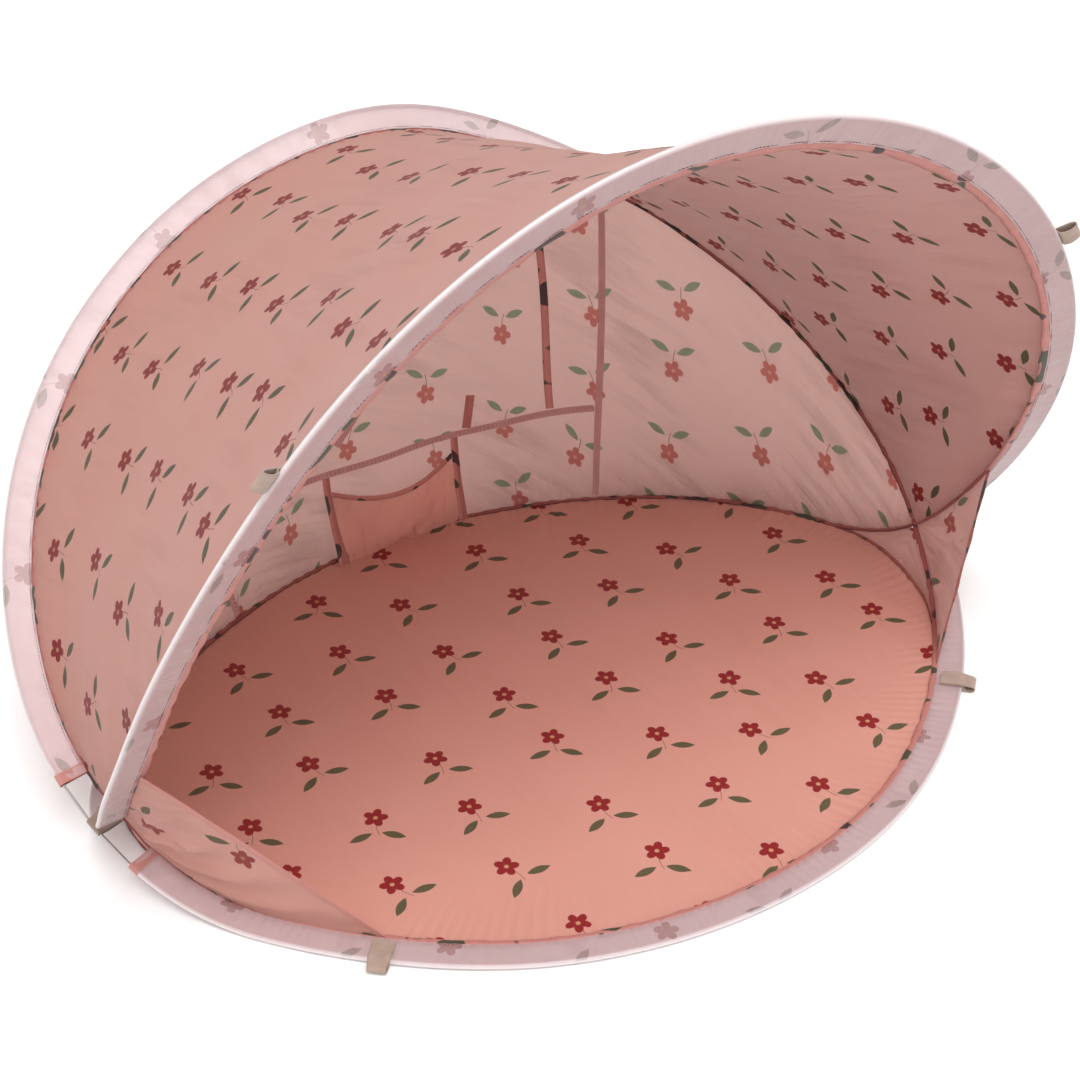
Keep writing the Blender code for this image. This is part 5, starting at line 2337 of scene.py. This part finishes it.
@dataclass
class SideWalls:
    """Low walls that close the floor to the raised crossings."""

    reach: float = 0.310
    notch: float = 0.0155
    clearance: float = 0.0012
    foot_height: float = 0.0022
    end_height: float = 0.0052
    columns: int = 130
    rows: int = 14
    cloth: float = 0.0005
    waves: Ripples = Ripples(61, 0.05, 0.0012)
    seam_band: Band = Band(half_width=0.0034, half_thickness=0.0016, seed=65)
    seam_height: float = 0.0042
    seam_steps: int = 160
    foot_seam_steps: int = 90

    def build(self, shop: Workshop, floor: GroundSheet) -> None:
        """Makes both side walls.

        Args:
            shop: What the sub-assemblies share.
            floor: The floor that they stand on.
        """
        edge = floor.outline(shop)
        for side in Side:
            parts = []
            for name in ("front_floor", "back_floor"):
                seam = shop.rings[name].seam
                seam = seam if side is Side.LEFT else seam[::-1]
                line = at_lengths(seam, np.linspace(0, self.reach, self.seam_steps))
                parts.append(line[(line[:, 2] > self.end_height) & (lengths_along(line) > self.notch)])
            joined = np.concatenate([parts[0][::-1], parts[1]])
            upper = at_lengths(joined, np.linspace(0, lengths_along(joined)[-1], self.columns + 1))
            lower = []
            for point in upper:
                away = np.linalg.norm(edge[:, :2] * (side.value, 1) - point[:2], axis=1)
                near = edge[away.argmin()]
                lower.append((side.value * near[0], near[1], self.foot_height))
            lower = np.array(lower)
            upper = set_back(upper, lower, self.clearance)
            share = np.linspace(0, 1, self.rows + 1)[:, None, None]
            points = upper[None] * (1 - share) + lower[None] * share
            run = np.repeat(lengths_along(upper)[None], self.rows + 1, axis=0)
            across = share[..., 0] * np.linalg.norm(upper - lower, axis=1)[None]
            grid = ClothGrid(points, np.stack([run, across], axis=-1))
            grid = grid.lifted(self.waves.over(run, across) * np.sin(math.pi * share[..., 0]))
            self.build_foot_seam(shop, side, lower)
            piece = grid.shell(f"side_wall_cloth_{side.label}", self.cloth)
            dress(piece, shop.finishes.web, "wall_cloth")
            FLOOR_BEND.apply(piece)
            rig.replaces(piece, f"side_wall_{side.label}")
            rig.sheet(piece, **grid.cut(), held="stretched", rests_on=["floor_cloth_sheet"])
            shop.done(piece)

    def build_foot_seam(self, shop: Workshop, side: Side, foot: Points) -> None:
        """Makes the narrow folded seam between the floor and a side wall.

        Args:
            shop: What the sub-assemblies share.
            side: The tent's side.
            foot: The wall's lower edge.
        """
        path = at_lengths(foot, np.linspace(0, lengths_along(foot)[-1], self.foot_seam_steps))
        path[:, 2] = self.seam_height
        along = unit(np.gradient(path, axis=0))
        wide = unit(np.cross(along, np.array([0.0, 0.0, 1.0])))
        thin = unit(np.cross(wide, along))
        piece = self.seam_band.sweep(f"side_wall_foot_seam_{side.label}", path, wide, thin)
        dress(piece, shop.finishes.piping, "piping_cloth")
        FLOOR_BEND.apply(piece)
        shop.done(piece)


@dataclass
class CornerWebs:
    """Triangles of cloth from the feet of the front arch to the floor, with a hem along the free edge."""

    rise: float = 0.185
    feet: tuple[float, float] = (0.355, 0.252)
    corner: float = 0.008
    hem_width: float = 0.008
    clearance: float = 0.0012
    columns: int = 90
    rows: int = 60
    cloth: float = 0.0005
    folds: Ripples = Ripples(71, 0.045, 0.0010)
    fold_count: float = 4.2
    fold_height: float = 0.0085
    fold_slant: float = 0.55
    fold_sway: float = 0.10
    sway_pace: float = 7
    fold_sharpness: float = 1.5
    crease_stretch: float = 0.3
    taut_power: int = 3
    least_slack: float = 0.04
    line_steps: int = 240
    hem_overlap: float = 0.002
    hem_under: float = 0.15
    hem_rows: int = 7
    hem_aim: int = 8
    hem_cloth: float = 0.0013
    declared_hem_width: float = 0.0105
    squash_anchor: tuple[float, float, float] = (0, 0, 0.004)
    squash_keep: float = 0.5

    def lines(self, shop: Workshop, side: Side, foot: float) -> tuple[Points, Points]:
        """The arch's and the floor's seam lines beside a web, from the crossing out.

        Args:
            shop: What the sub-assemblies share.
            side: The tent's side.
            foot: How far the web reaches along the floor.

        Returns:
            The two lines.
        """
        lines = []
        for name, length in (("front_arch", self.rise), ("front_floor", foot)):
            seam = shop.rings[name].seam
            seam = seam if side is Side.LEFT else seam[::-1]
            lines.append(at_lengths(seam, np.linspace(0, length, self.line_steps + 1)))
        return lines[0], lines[1]

    def between(self, arch: Points, floor: Points, rows: int) -> tuple[Points, Points]:
        """Straight-lined rows of points between two lines, and their shares.

        Args:
            arch: Points along the arch's seam.
            floor: Points along the floor's seam.
            rows: How many steps lie between the lines.

        Returns:
            The rows of points and their shares.
        """
        one, two = set_back(arch, floor, self.clearance), set_back(floor, arch, self.clearance)
        share = np.linspace(0, 1, rows + 1)[:, None, None]
        return one[None] * (1 - share) + two[None] * share, share[..., 0]

    def build(self, shop: Workshop) -> None:
        """Makes both webs and their hems.

        Args:
            shop: What the sub-assemblies share.
        """
        for side, foot in zip(Side, self.feet):
            arch, floor = self.lines(shop, side, foot)
            apart = np.linalg.norm(arch - floor, axis=1)
            start = np.argmax(apart > self.corner) / self.line_steps
            shares = np.linspace(start, 1, self.columns + 1)
            web_arch = at_lengths(arch, shares * (self.rise - self.hem_width + self.hem_overlap))
            web_floor = at_lengths(floor, shares * (foot - self.hem_width + self.hem_overlap))
            points, share = self.between(web_arch, web_floor, self.rows)
            span = np.linalg.norm(web_arch - web_floor, axis=1)
            away = np.repeat((shares * (self.rise + foot) / 2)[None], self.rows + 1, axis=0)
            across = share * span[None]
            ahead = unit(points[self.rows // 2, -1] - points[0, 0])
            square = unit(np.cross(np.cross(ahead, points[-1, -1] - points[0, -1]), ahead))
            offset = points - points[0, 0]
            grid = ClothGrid(points, np.stack([offset @ ahead, offset @ square], axis=-1))
            middle = np.sin(math.pi * share)
            sway = self.fold_sway * np.sin(self.sway_pace * shares)[None]
            turns = self.fold_count * share + self.fold_slant * shares[None] + sway
            ridges = np.abs(np.sin(math.pi * turns)) ** self.fold_sharpness
            slack = (ridges - 0.5) * 2 * self.fold_height * shares[None]
            taut = np.clip(1.0 - shares[None] ** self.taut_power, self.least_slack, 1.0)
            creases = self.folds.over(away * self.crease_stretch, across)
            grid = grid.lifted((slack + creases) * np.sqrt(middle) * taut)
            piece = grid.shell(f"corner_web_cloth_{side.label}", self.cloth)
            dress(piece, shop.finishes.web, "canopy_cloth")
            self.settle(piece)
            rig.replaces(piece, f"corner_web_{side.label}")
            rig.sheet(piece, **grid.cut(), held="hung", rests_on=["front_floor_seam_piping"])
            shop.done(piece)
            self.build_hem(shop, side, grid)

    def settle(self, piece: Object) -> None:
        """Makes a piece ride on the floor and sink when the tent is folded."""
        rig.ride(piece, Body.ROOT.value)
        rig.squash(piece, "back_edge_fold", axis=(0, 0, 1), anchor=self.squash_anchor, keep=self.squash_keep)

    def build_hem(self, shop: Workshop, side: Side, web: ClothGrid) -> None:
        """Makes the folded hem along a web's free edge.

        Args:
            shop: What the sub-assemblies share.
            side: The tent's side.
            web: The web's cloth.
        """
        edge, before = web.points[:, -1], web.points[:, -self.hem_aim]
        out = unit(edge - before)
        share = np.linspace(-self.hem_under, 1, self.hem_rows)[:, None, None]
        points = edge[None] + out[None] * share * self.hem_width
        run = np.repeat(lengths_along(edge)[None], self.hem_rows, axis=0)
        across = np.repeat(share[..., 0] * self.hem_width, len(edge), axis=1)
        grid = ClothGrid(points, np.stack([run, across], axis=-1))
        finish = shop.finishes.hem if side is Side.LEFT else shop.finishes.web_binding
        piece = dress(grid.shell(f"web_hem_cloth_{side.label}", self.hem_cloth), finish, "piping_cloth")
        self.settle(piece)
        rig.replaces(piece, f"web_hem_{side.label}")
        length = float(lengths_along(edge)[-1])
        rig.sheet(
            piece,
            flat=(self.declared_hem_width, round(length, 3)),
            held="folded",
            rests_on=[f"corner_web_cloth_{side.label}"],
        )
        shop.done(piece)


@dataclass
class WebbingPieces:
    """The loops for pegs and guy lines, and the straps round the crossings."""

    width: float = 0.025
    thickness: float = 0.0014
    gap: float = 0.0003
    sleeve_outer: float = 0.00415
    hem_reach: float = 0.0297
    seam_height: float = 0.0020
    seam_ease: float = 0.006
    eye_half_height: float = 0.0042
    peg_reach: float = 0.019
    guy_reach: float = 0.026
    front_peg_places: tuple[float, float] = (0.372, 0.300)
    rear_peg_places: tuple[float, float] = (0.300, 0.300)
    guy_places: tuple[float, float] = (0.680, 0.680)
    ground_height: float = 0.00415
    wire_radius: float = 0.00175
    nip: float = 0.16
    nip_power: int = 8
    curl: float = 0.0004
    curl_power: int = 4
    length_steps: int = 64
    width_steps: int = 13
    over_wire: tuple[float, ...] = (0.4, 0.8, 1.2, math.pi / 2)
    eye_start: float = -2 * math.pi / 3
    eye_steps: int = 16
    strap_steps: int = 15
    strap_ease: float = 0.0008
    # Declared cut lengths
    peg_cut: float = 0.094
    guy_cut: float = 0.108
    strap_cut: float = 0.068

    def loop_path(self, reach: float) -> Points:
        """A folded strap's side view: out over the sleeve, round an open eye and back on itself.

        Args:
            reach: How far the loop stands out from the wire.

        Returns:
            Outward and normal distances.
        """
        slack = 2 * self.gap + self.thickness / 2
        outer = self.sleeve_outer + slack
        start = self.seam_ease - self.hem_reach
        height = self.seam_height + slack
        seam_lift = height + (outer - height) * self.seam_ease / self.hem_reach
        layer = self.thickness + self.gap
        half = (reach - outer) / 2
        level = self.eye_half_height + self.thickness / 2 + self.gap - self.ground_height
        path = [(start, seam_lift), (0.5 * start, 0.5 * (seam_lift + outer)), (0, outer)]
        path += [(outer * math.sin(a), outer * math.cos(a)) for a in self.over_wire]
        for angle in np.linspace(self.eye_start, math.pi / 2, self.eye_steps):
            up = level + self.eye_half_height * math.sin(angle)
            path.append((outer + half + half * math.cos(angle), up))
        path += [(0, outer + layer), (0.5 * start, 0.5 * (seam_lift + outer) + layer)]
        path.append((start, seam_lift + layer))
        return np.array(path)

    def ribbon(self, name: str, centre: Points, axes: tuple, path: Points, cup: float) -> Object:
        """A strap of webbing swept along a side view.

        Args:
            name: The new object's name.
            centre: Where the side view's zero lies.
            axes: The outward, normal and along directions.
            path: Outward and normal distances.
            cup: How far the strap's edges curl.

        Returns:
            The strap.
        """
        outward, normal, along = axes
        run = lengths_along(np.column_stack([path, np.zeros(len(path))]))
        wanted = np.linspace(0, run[-1], self.length_steps)
        smooth = np.column_stack([np.interp(wanted, run, path[:, 0]), np.interp(wanted, run, path[:, 1])])
        line = centre + smooth[:, :1] * outward + smooth[:, 1:] * normal
        offsets = np.linspace(-1, 1, self.width_steps) * self.width / 2
        narrowed = 1 - self.nip * np.sin(math.pi * wanted / run[-1]) ** self.nip_power
        points = line[None] + (offsets[:, None] * narrowed)[..., None] * along
        runs = np.repeat(wanted[None], len(offsets), axis=0)
        grid = ClothGrid(points, np.stack([runs, np.repeat(offsets[:, None], len(wanted), axis=1)], axis=-1))
        edges = (offsets / offsets[-1])[:, None] ** self.curl_power
        curl = cup * edges * np.sin(math.pi * wanted / wanted[-1])[None]
        return grid.lifted(curl).shell(name, self.thickness)

    def build_loop(
        self, shop: Workshop, name: str, ring: str, side: Side, place: float, reach: float, up: Points
    ) -> None:
        """Makes one loop on the sleeve of a half ring.

        Args:
            shop: What the sub-assemblies share.
            name: The loop's kind.
            ring: The half ring that carries it.
            side: The tent's side.
            place: Its distance from the crossing.
            reach: How far it stands out from the wire.
            up: The direction that its outer face turns to.
        """
        half = shop.rings[ring].seen_from(side)
        centres, along, inward, across = (row[0] for row in half.axes_at(np.array([place])))
        normal = across if across @ up > 0 else -across
        label = f"{name}_loop_{side.label}"
        axes = (-inward, normal, along)
        piece = self.ribbon(f"{label}_webbing", centres, axes, self.loop_path(reach), self.curl)
        dress(piece, shop.finishes.webbing, "webbing")
        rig.ride(piece, f"{name}_{side.label}")
        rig.replaces(piece, label)
        cut = self.guy_cut if name == "guy" else self.peg_cut
        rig.sheet(piece, flat=(self.width, cut), held="folded", rests_on=[f"{ring}_sleeve_cloth"])
        shop.done(piece)

    def build(self, shop: Workshop) -> None:
        """Makes the six loops and the two crossing straps.

        Args:
            shop: What the sub-assemblies share.
        """
        up, back = np.array([0.0, 0.0, 1.0]), np.array([0.0, 1.0, 0.0])
        kinds = (
            ("front_peg", "front_floor", self.front_peg_places, self.peg_reach, up),
            ("rear_peg", "back_floor", self.rear_peg_places, self.peg_reach, up),
            ("guy", "front_arch", self.guy_places, self.guy_reach, back),
        )
        for name, ring, places, reach, facing in kinds:
            for side, place in zip(Side, places):
                self.build_loop(shop, name, ring, side, place, reach, facing)
        for side in Side:
            half = shop.rings["front_floor"].seen_from(side)
            centre, along, inward, across = (row[0] for row in half.axes_at(np.array([0.0])))
            radius = self.wire_radius + self.gap + self.thickness / 2
            angles = np.linspace(math.pi / 2, -math.pi / 2, self.strap_steps)
            arc = np.column_stack([radius * np.cos(angles), radius * np.sin(angles)])
            top_end = (-self.hem_reach, radius + self.strap_ease)
            low_end = (-self.hem_reach, -radius - self.strap_ease)
            path = np.concatenate([[top_end], arc, [low_end]])
            axes = (-inward, across, along)
            piece = self.ribbon(f"crossing_strap_{side.label}_webbing", centre, axes, path, 0.0)
            dress(piece, shop.finishes.crossing_webbing, "webbing")
            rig.ride(piece, Body.ROOT.value)
            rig.replaces(piece, f"crossing_strap_{side.label}")
            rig.sheet(piece, flat=(self.width, self.strap_cut), held="folded", rests_on=["front_floor_wire"])
            shop.done(piece)


@dataclass
class WallTapes:
    """Tapes and straps sewn to the inside of the back wall."""

    tape_width: float = 0.009
    foot_span: float = 0.277
    top_span: float = 0.352
    low_height: float = 0.131
    cloth: float = 0.0008
    declared_extra: float = 0.001
    lift: float = 0.0009
    tie_width: float = 0.011
    tie_foot: float = 0.234
    tie_top: float = 0.256
    tie_bow: float = 0.006
    stub_width: float = 0.012
    stub_cloth: float = 0.0022
    stub_length: float = 0.046
    stub_foot: float = 0.109
    stub_top: float = 0.119
    short_foot: tuple[float, float] = (-0.087, 0.168)
    short_top: tuple[float, float] = (-0.030, 0.230)
    rung: StitchSize = StitchSize(length=0.0056, step=0.0060, thread=0.0006, turn=math.pi / 2)
    ladder_width: float = 0.002
    ladder_lift: float = 0.0003
    ladder_seed: int = 81
    side_gap: float = 0.0006
    strap_gap: float = 0.002

    def lay(
        self,
        shop: Workshop,
        face: WallFace,
        node: str,
        foot: tuple[float, float],
        top: tuple[float, float],
        width: float,
        cloth: float,
        material: bpy.types.Material,
        bow: float = 0.0,
    ) -> None:
        """Lays one tape on the wall.

        Args:
            shop: What the sub-assemblies share.
            face: The back wall's inner face.
            node: The node that the piece stands for.
            foot: Its lower end, as distance from the middle and height.
            top: Its upper end, in the same way.
            width: The tape's width.
            cloth: Its thickness.
            material: Its material.
            bow: How far its middle bends sideways.
        """
        grid = face.strip(foot, top, width, self.lift + cloth / 2, bow)
        piece = dress(grid.shell(f"{node}_twill", cloth), material, "piping_cloth")
        WALL_BEND.apply(piece)
        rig.replaces(piece, node)
        length = float(grid.flat[0, -1, 0])
        cut = round(width + self.declared_extra, 3)
        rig.sheet(piece, flat=(cut, round(length, 3)), held="stretched", rests_on=["back_wall_cloth"])
        shop.done(piece)

    def ladder(self, face: WallFace, foot: tuple[float, float], top: tuple[float, float]) -> Points:
        """The line along a tape's middle that its ladder stitches follow."""
        lines = face.strip(foot, top, self.ladder_width, self.lift + self.cloth + self.ladder_lift).points
        return lines[len(lines) // 2]

    def build(self, shop: Workshop, face: WallFace) -> None:
        """Makes the tapes, ties and the ladder stitches on the tapes.

        Args:
            shop: What the sub-assemblies share.
            face: The back wall's inner face.
        """
        finishes = shop.finishes
        foot_height = face.edge_height(face.lower, self.foot_span) + self.tape_width / 2
        top_height = face.edge_height(face.upper, self.top_span) - self.tape_width / 2
        ladders = []
        for side in Side:
            foot = (side.value * self.foot_span, foot_height)
            top = (side.value * self.top_span, top_height)
            self.lay(
                shop, face, f"wall_tape_{side.label}", foot, top, self.tape_width, self.cloth, finishes.tape
            )
            ladders.append(self.ladder(face, foot, top))
        share = (self.low_height - self.tape_width / 2 - foot_height) / (top_height - foot_height)
        reach = self.foot_span + (self.top_span - self.foot_span) * share
        reach = reach - self.tape_width / 2 - self.side_gap
        low = ((-reach, self.low_height), (reach, self.low_height))
        self.lay(shop, face, "wall_tape_low", *low, self.tape_width, self.cloth, finishes.tape)
        ladders.append(self.ladder(face, *low))
        above = self.low_height + self.tape_width / 2 + self.strap_gap
        tie_top = (self.tie_top, face.edge_height(face.upper, self.tie_top) - self.tie_width / 2)
        self.lay(
            shop,
            face,
            "tie_strap",
            (self.tie_foot, above),
            tie_top,
            self.tie_width,
            self.cloth,
            finishes.tie_binding,
            self.tie_bow,
        )
        stub_top = (self.stub_top, above + self.stub_length)
        stub_foot = (self.stub_foot, above)
        self.lay(shop, face, "tie_stub", stub_foot, stub_top, self.stub_width, self.stub_cloth, finishes.stub)
        short = (self.short_foot, self.short_top)
        self.lay(shop, face, "short_strap", *short, self.tie_width, self.cloth, finishes.tape)
        thread = finishes.tape_thread
        piece = shop.stitches.sew("wall_tape_stitches", ladders, self.rung, thread, self.ladder_seed)
        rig.slot(piece, "piping_cloth")
        WALL_BEND.apply(piece)
        shop.done(piece)


@dataclass
class WallPocket:
    """The sagging pocket on the inside of the back wall, with its bindings."""

    left_span: float = 0.112
    right_span: float = 0.095
    depth: float = 0.104
    sag: float = 0.016
    swell: float = 0.022
    edge_ease: float = 0.0010
    foot_ease: float = 0.0045
    foot_reach: float = 0.016
    binding_width: float = 0.010
    rim_width: float = 0.007
    low_tape: float = 0.131
    tape_width: float = 0.009
    floor_top: float = 0.0034
    cloth: float = 0.0005
    columns: int = 60
    rows: int = 36
    folds: Ripples = Ripples(91, 0.034, 0.0012)
    fold_height: float = 0.0085
    stand_off: float = 0.0012
    fold_place: float = 0.80
    fold_pace: float = 0.9
    fold_lean: float = 0.42
    fold_turn: float = 0.03
    fold_spread: float = 0.16
    crease_stretch: float = 0.6
    puff: float = 0.0012
    rim_gap: float = 0.0006
    rim_puff: float = 0.0010
    rim_lines: int = 5
    rim_flat: float = 0.2
    rim_cloth: float = 0.0016
    binding_lines: int = 5
    binding_steps: int = 24
    binding_cloth: float = 0.0014
    front_cut: tuple[float, float] = (0.20, 0.115)
    rim_cut: tuple[float, float] = (0.20, 0.010)
    binding_cut: tuple[float, float] = (0.0102, 0.128)

    def lift(self, across: float, up: float) -> float:
        """How far the pocket stands off the wall at a share of its width and height.

        Args:
            across: Share of the width, from the left.
            up: Share of the height.

        Returns:
            The distance.
        """
        foot = self.foot_ease + self.foot_reach * (1 - across)
        swell = 4 * across * (1 - across) * self.swell
        return foot * (1 - up) + swell * up + self.stand_off

    def place(self, face: WallFace, across: float, up: float, drop: float, extra: float = 0.0) -> Points:
        """A point of the pocket's front, a distance below the rim where up is one.

        Args:
            face: The back wall's inner face.
            across: Share of the width, from the left.
            up: Share of the height.
            drop: Distance below the rim.
            extra: Distance added off the wall.

        Returns:
            The point.
        """
        left = -self.left_span + self.binding_width + self.edge_ease
        right = self.right_span - self.binding_width - self.edge_ease
        rim = self.depth - 4 * across * (1 - across) * self.sag - drop
        height = self.floor_top + (rim - self.floor_top) * up
        return face.lifted(left + (right - left) * across, height, self.lift(across, up) + extra)

    def front(self, face: WallFace) -> ClothGrid:
        """The pocket's front, with a slanting fold at its right and loose creases.

        Args:
            face: The back wall's inner face.

        Returns:
            The cloth.
        """
        across = np.linspace(0, 1, self.columns + 1)
        up = np.linspace(0, 1, self.rows + 1)
        wide, tall = self.left_span + self.right_span, self.depth
        points, flat = [], []
        for level in up:
            row, spots = [], []
            for share in across:
                slant = (share - self.fold_place) * self.fold_pace - (level - 0.5) * self.fold_lean
                fade = math.exp(-((slant / self.fold_spread) ** 2))
                fold = self.fold_height * math.tanh(slant / self.fold_turn) * fade
                across_up = (np.array(share * wide), np.array(level * tall * self.crease_stretch))
                crease = float(self.folds.over(*across_up))
                edge = math.sin(math.pi * share) ** 0.5
                extra = edge * (crease + fold + self.puff)
                row.append(self.place(face, share, level, self.rim_width + self.rim_gap, extra))
                spots.append(((share - 0.5) * wide, level * tall))
            points.append(row)
            flat.append(spots)
        return ClothGrid(np.array(points), np.array(flat))

    def build(self, shop: Workshop, face: WallFace) -> None:
        """Makes the pocket's front, its rim and its side bindings.

        Args:
            shop: What the sub-assemblies share.
            face: The back wall's inner face.
        """
        finishes = shop.finishes
        grid = self.front(face)
        piece = dress(grid.shell("pocket_front_cloth", self.cloth), finishes.pocket, "canopy_cloth")
        self.finish(shop, piece, "pocket_front", self.front_cut, "hung")
        share = np.linspace(0, 1, self.columns + 1)
        drops = np.linspace(self.rim_width, 0, self.rim_lines)
        puffs = [self.rim_puff * math.sin(math.pi * s) for s in share]
        rim = [[self.place(face, s, 1, d, puff) for s, puff in zip(share, puffs)] for d in drops]
        flat = [[(s * self.rim_flat, d) for s in share] for d in drops]
        piece = ClothGrid(np.array(rim), np.array(flat)).shell("pocket_rim_twill", self.rim_cloth)
        dress(piece, finishes.tie_binding, "piping_cloth")
        self.finish(shop, piece, "pocket_rim", self.rim_cut, "hung")
        top = self.low_tape - self.tape_width / 2 - self.rim_gap
        sides = (("left", 0, -self.left_span), ("right", 1, self.right_span - self.binding_width))
        for label, at_share, start in sides:
            heights = np.linspace(self.floor_top, top, self.binding_steps)
            ups = np.minimum((heights - self.floor_top) / (self.depth - self.floor_top), 1)
            rows, spots = [], []
            for across in np.linspace(0, self.binding_width, self.binding_lines):
                rows.append([
                    face.lifted(start + across, height, self.lift(at_share, up))
                    for height, up in zip(heights, ups)
                ])
                spots.append([(height, across) for height in heights])
            binding = ClothGrid(np.array(rows), np.array(spots))
            piece = binding.shell(f"pocket_binding_{label}_twill", self.binding_cloth)
            dress(piece, finishes.tie_binding, "piping_cloth")
            self.finish(shop, piece, f"pocket_binding_{label}", self.binding_cut, "hung")

    def finish(self, shop: Workshop, piece: Object, node: str, flat: tuple[float, float], held: str) -> None:
        """Makes a pocket piece bend with the wall and declares its cut size.

        Args:
            shop: What the sub-assemblies share.
            piece: The piece.
            node: The node that the piece stands for.
            flat: Its cut width and length.
            held: How it is held.
        """
        WALL_BEND.apply(piece)
        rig.replaces(piece, node)
        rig.sheet(piece, flat=flat, held=held, rests_on=["back_wall_cloth"])
        shop.done(piece)


# Studio


@dataclass
class Studio:
    """A pale floor, a soft key light, an even surround and the camera."""

    azimuth: float = math.radians(30.804)
    elevation: float = math.radians(33.586)
    distance: float = 2.569
    target: tuple[float, float, float] = (0.0, 0.0, 0.3)
    image: float = 1080.0
    focal_pixels: float = 2165.9
    centre_pixels: tuple[float, float] = (4.83, -52.25)
    sensor: float = 36.0
    key_turn: float = math.radians(-22.0)
    key_height: float = math.radians(67.0)
    key_softness: float = math.radians(38.0)
    key_strength: float = 1.80
    surround: float = 0.73
    ground_lift: float = 0.10
    ground_size: float = 40.0
    view_reach: float = 100.0
    ground_drop: float = 0.0005
    ground_white: float = 0.93

    def camera(self) -> None:
        """Places the camera at the photograph's angle."""
        data = bpy.data.cameras.new("camera")
        data.sensor_width = self.sensor
        data.lens = self.focal_pixels / self.image * self.sensor
        data.shift_x = -self.centre_pixels[0] / self.image
        data.shift_y = self.centre_pixels[1] / self.image
        data.clip_end = self.view_reach
        camera = bpy.data.objects.new("camera", data)
        bpy.context.scene.collection.objects.link(camera)
        flat = math.cos(self.elevation)
        back = Vector(
            (-math.sin(self.azimuth) * flat, -math.cos(self.azimuth) * flat, math.sin(self.elevation))
        )
        camera.location = Vector(self.target) + back * self.distance
        camera.rotation_mode = "QUATERNION"
        camera.rotation_quaternion = (-back).to_track_quat("-Z", "Y")
        bpy.context.scene.camera = camera

    def lights(self) -> None:
        """Adds the key light and the even surround."""
        data = bpy.data.lights.new("key", "SUN")
        data.energy = self.key_strength
        data.angle = self.key_softness
        key = bpy.data.objects.new("key", data)
        bpy.context.scene.collection.objects.link(key)
        flat = math.cos(self.key_height)
        way = Vector(
            (math.sin(self.key_turn) * flat, -math.cos(self.key_turn) * flat, math.sin(self.key_height))
        )
        key.rotation_mode = "QUATERNION"
        key.rotation_quaternion = way.to_track_quat("Z", "Y")
        world = bpy.data.worlds.new("surround")
        bpy.context.scene.world = world
        world.use_nodes = True
        nodes, links = world.node_tree.nodes, world.node_tree.links
        nodes.clear()
        path = nodes.new("ShaderNodeLightPath").outputs
        seen = nodes.new("ShaderNodeMath")
        seen.operation = "MAXIMUM"
        links.new(path["Is Camera Ray"], seen.inputs[0])
        links.new(path["Is Glossy Ray"], seen.inputs[1])
        strength = nodes.new("ShaderNodeMapRange")
        strength.inputs["To Min"].default_value = self.surround
        strength.inputs["To Max"].default_value = 1.0
        links.new(seen.outputs[0], strength.inputs["Value"])
        light = nodes.new("ShaderNodeBackground")
        light.inputs["Color"].default_value = (1.0, 1.0, 1.0, 1.0)
        links.new(strength.outputs[0], light.inputs["Strength"])
        links.new(light.outputs[0], nodes.new("ShaderNodeOutputWorld").inputs["Surface"])

    def ground(self) -> None:
        """Adds the pale floor that keeps the tent's shadow."""
        half = self.ground_size / 2
        mesh = bpy.data.meshes.new("studio_floor")
        corners = [(x * half, y * half, -self.ground_drop) for x, y in ((-1, -1), (1, -1), (1, 1), (-1, 1))]
        mesh.from_pydata(corners, [], [(0, 1, 2, 3)])
        ground = bpy.data.objects.new("studio_floor", mesh)
        bpy.context.scene.collection.objects.link(ground)
        graph = Graph("studio_floor_paint")
        paint = graph.node("ShaderNodeBsdfDiffuse", {"Color": (*[self.ground_white] * 3, 1.0)})
        seen = graph.node("ShaderNodeLightPath").outputs["Is Camera Ray"]
        lift = graph.times(seen, self.ground_lift)
        glow = graph.node("ShaderNodeEmission", {"Strength": lift})
        both = graph.node("ShaderNodeAddShader", {0: paint.outputs[0], 1: glow.outputs[0]})
        mesh.materials.append(graph.surface(both))
        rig.stage(ground)

    def build(self) -> None:
        """Sets up the whole studio."""
        self.camera()
        self.lights()
        self.ground()
        bpy.context.scene.view_settings.view_transform = "Standard"


def write_size() -> None:
    """Writes the CAD box and the dressed model's box for comparison."""
    low, high = CAD_BOUNDS
    now_low, now_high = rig.bounds()
    sizes = {"cad": [list(low), list(high)], "visual": [list(now_low), list(now_high)]}
    with open("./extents.json", "w", encoding="utf-8") as file:
        json.dump(sizes, file)


def main() -> None:
    """Builds the tent's looks, sub-assembly by sub-assembly."""
    logging.basicConfig(level=logging.INFO, format="%(name)s: %(message)s")
    Studio().build()
    shop = Workshop(WireRings().build(), make_finishes(), StitchTree())
    SpringWires().build(shop)
    CordedSleeves().build(shop)
    SeamPipings().build(shop)
    floor = GroundSheet()
    floor.build(shop)
    SideWalls().build(shop, floor)
    Canopy().build(shop)
    face = BackWall().build(shop)
    WallTapes().build(shop, face)
    WallPocket().build(shop, face)
    CornerWebs().build(shop)
    WebbingPieces().build(shop)
    log.info("%d pieces made", len(shop.made))
    write_size()


if __name__ == "__main__":
    main()
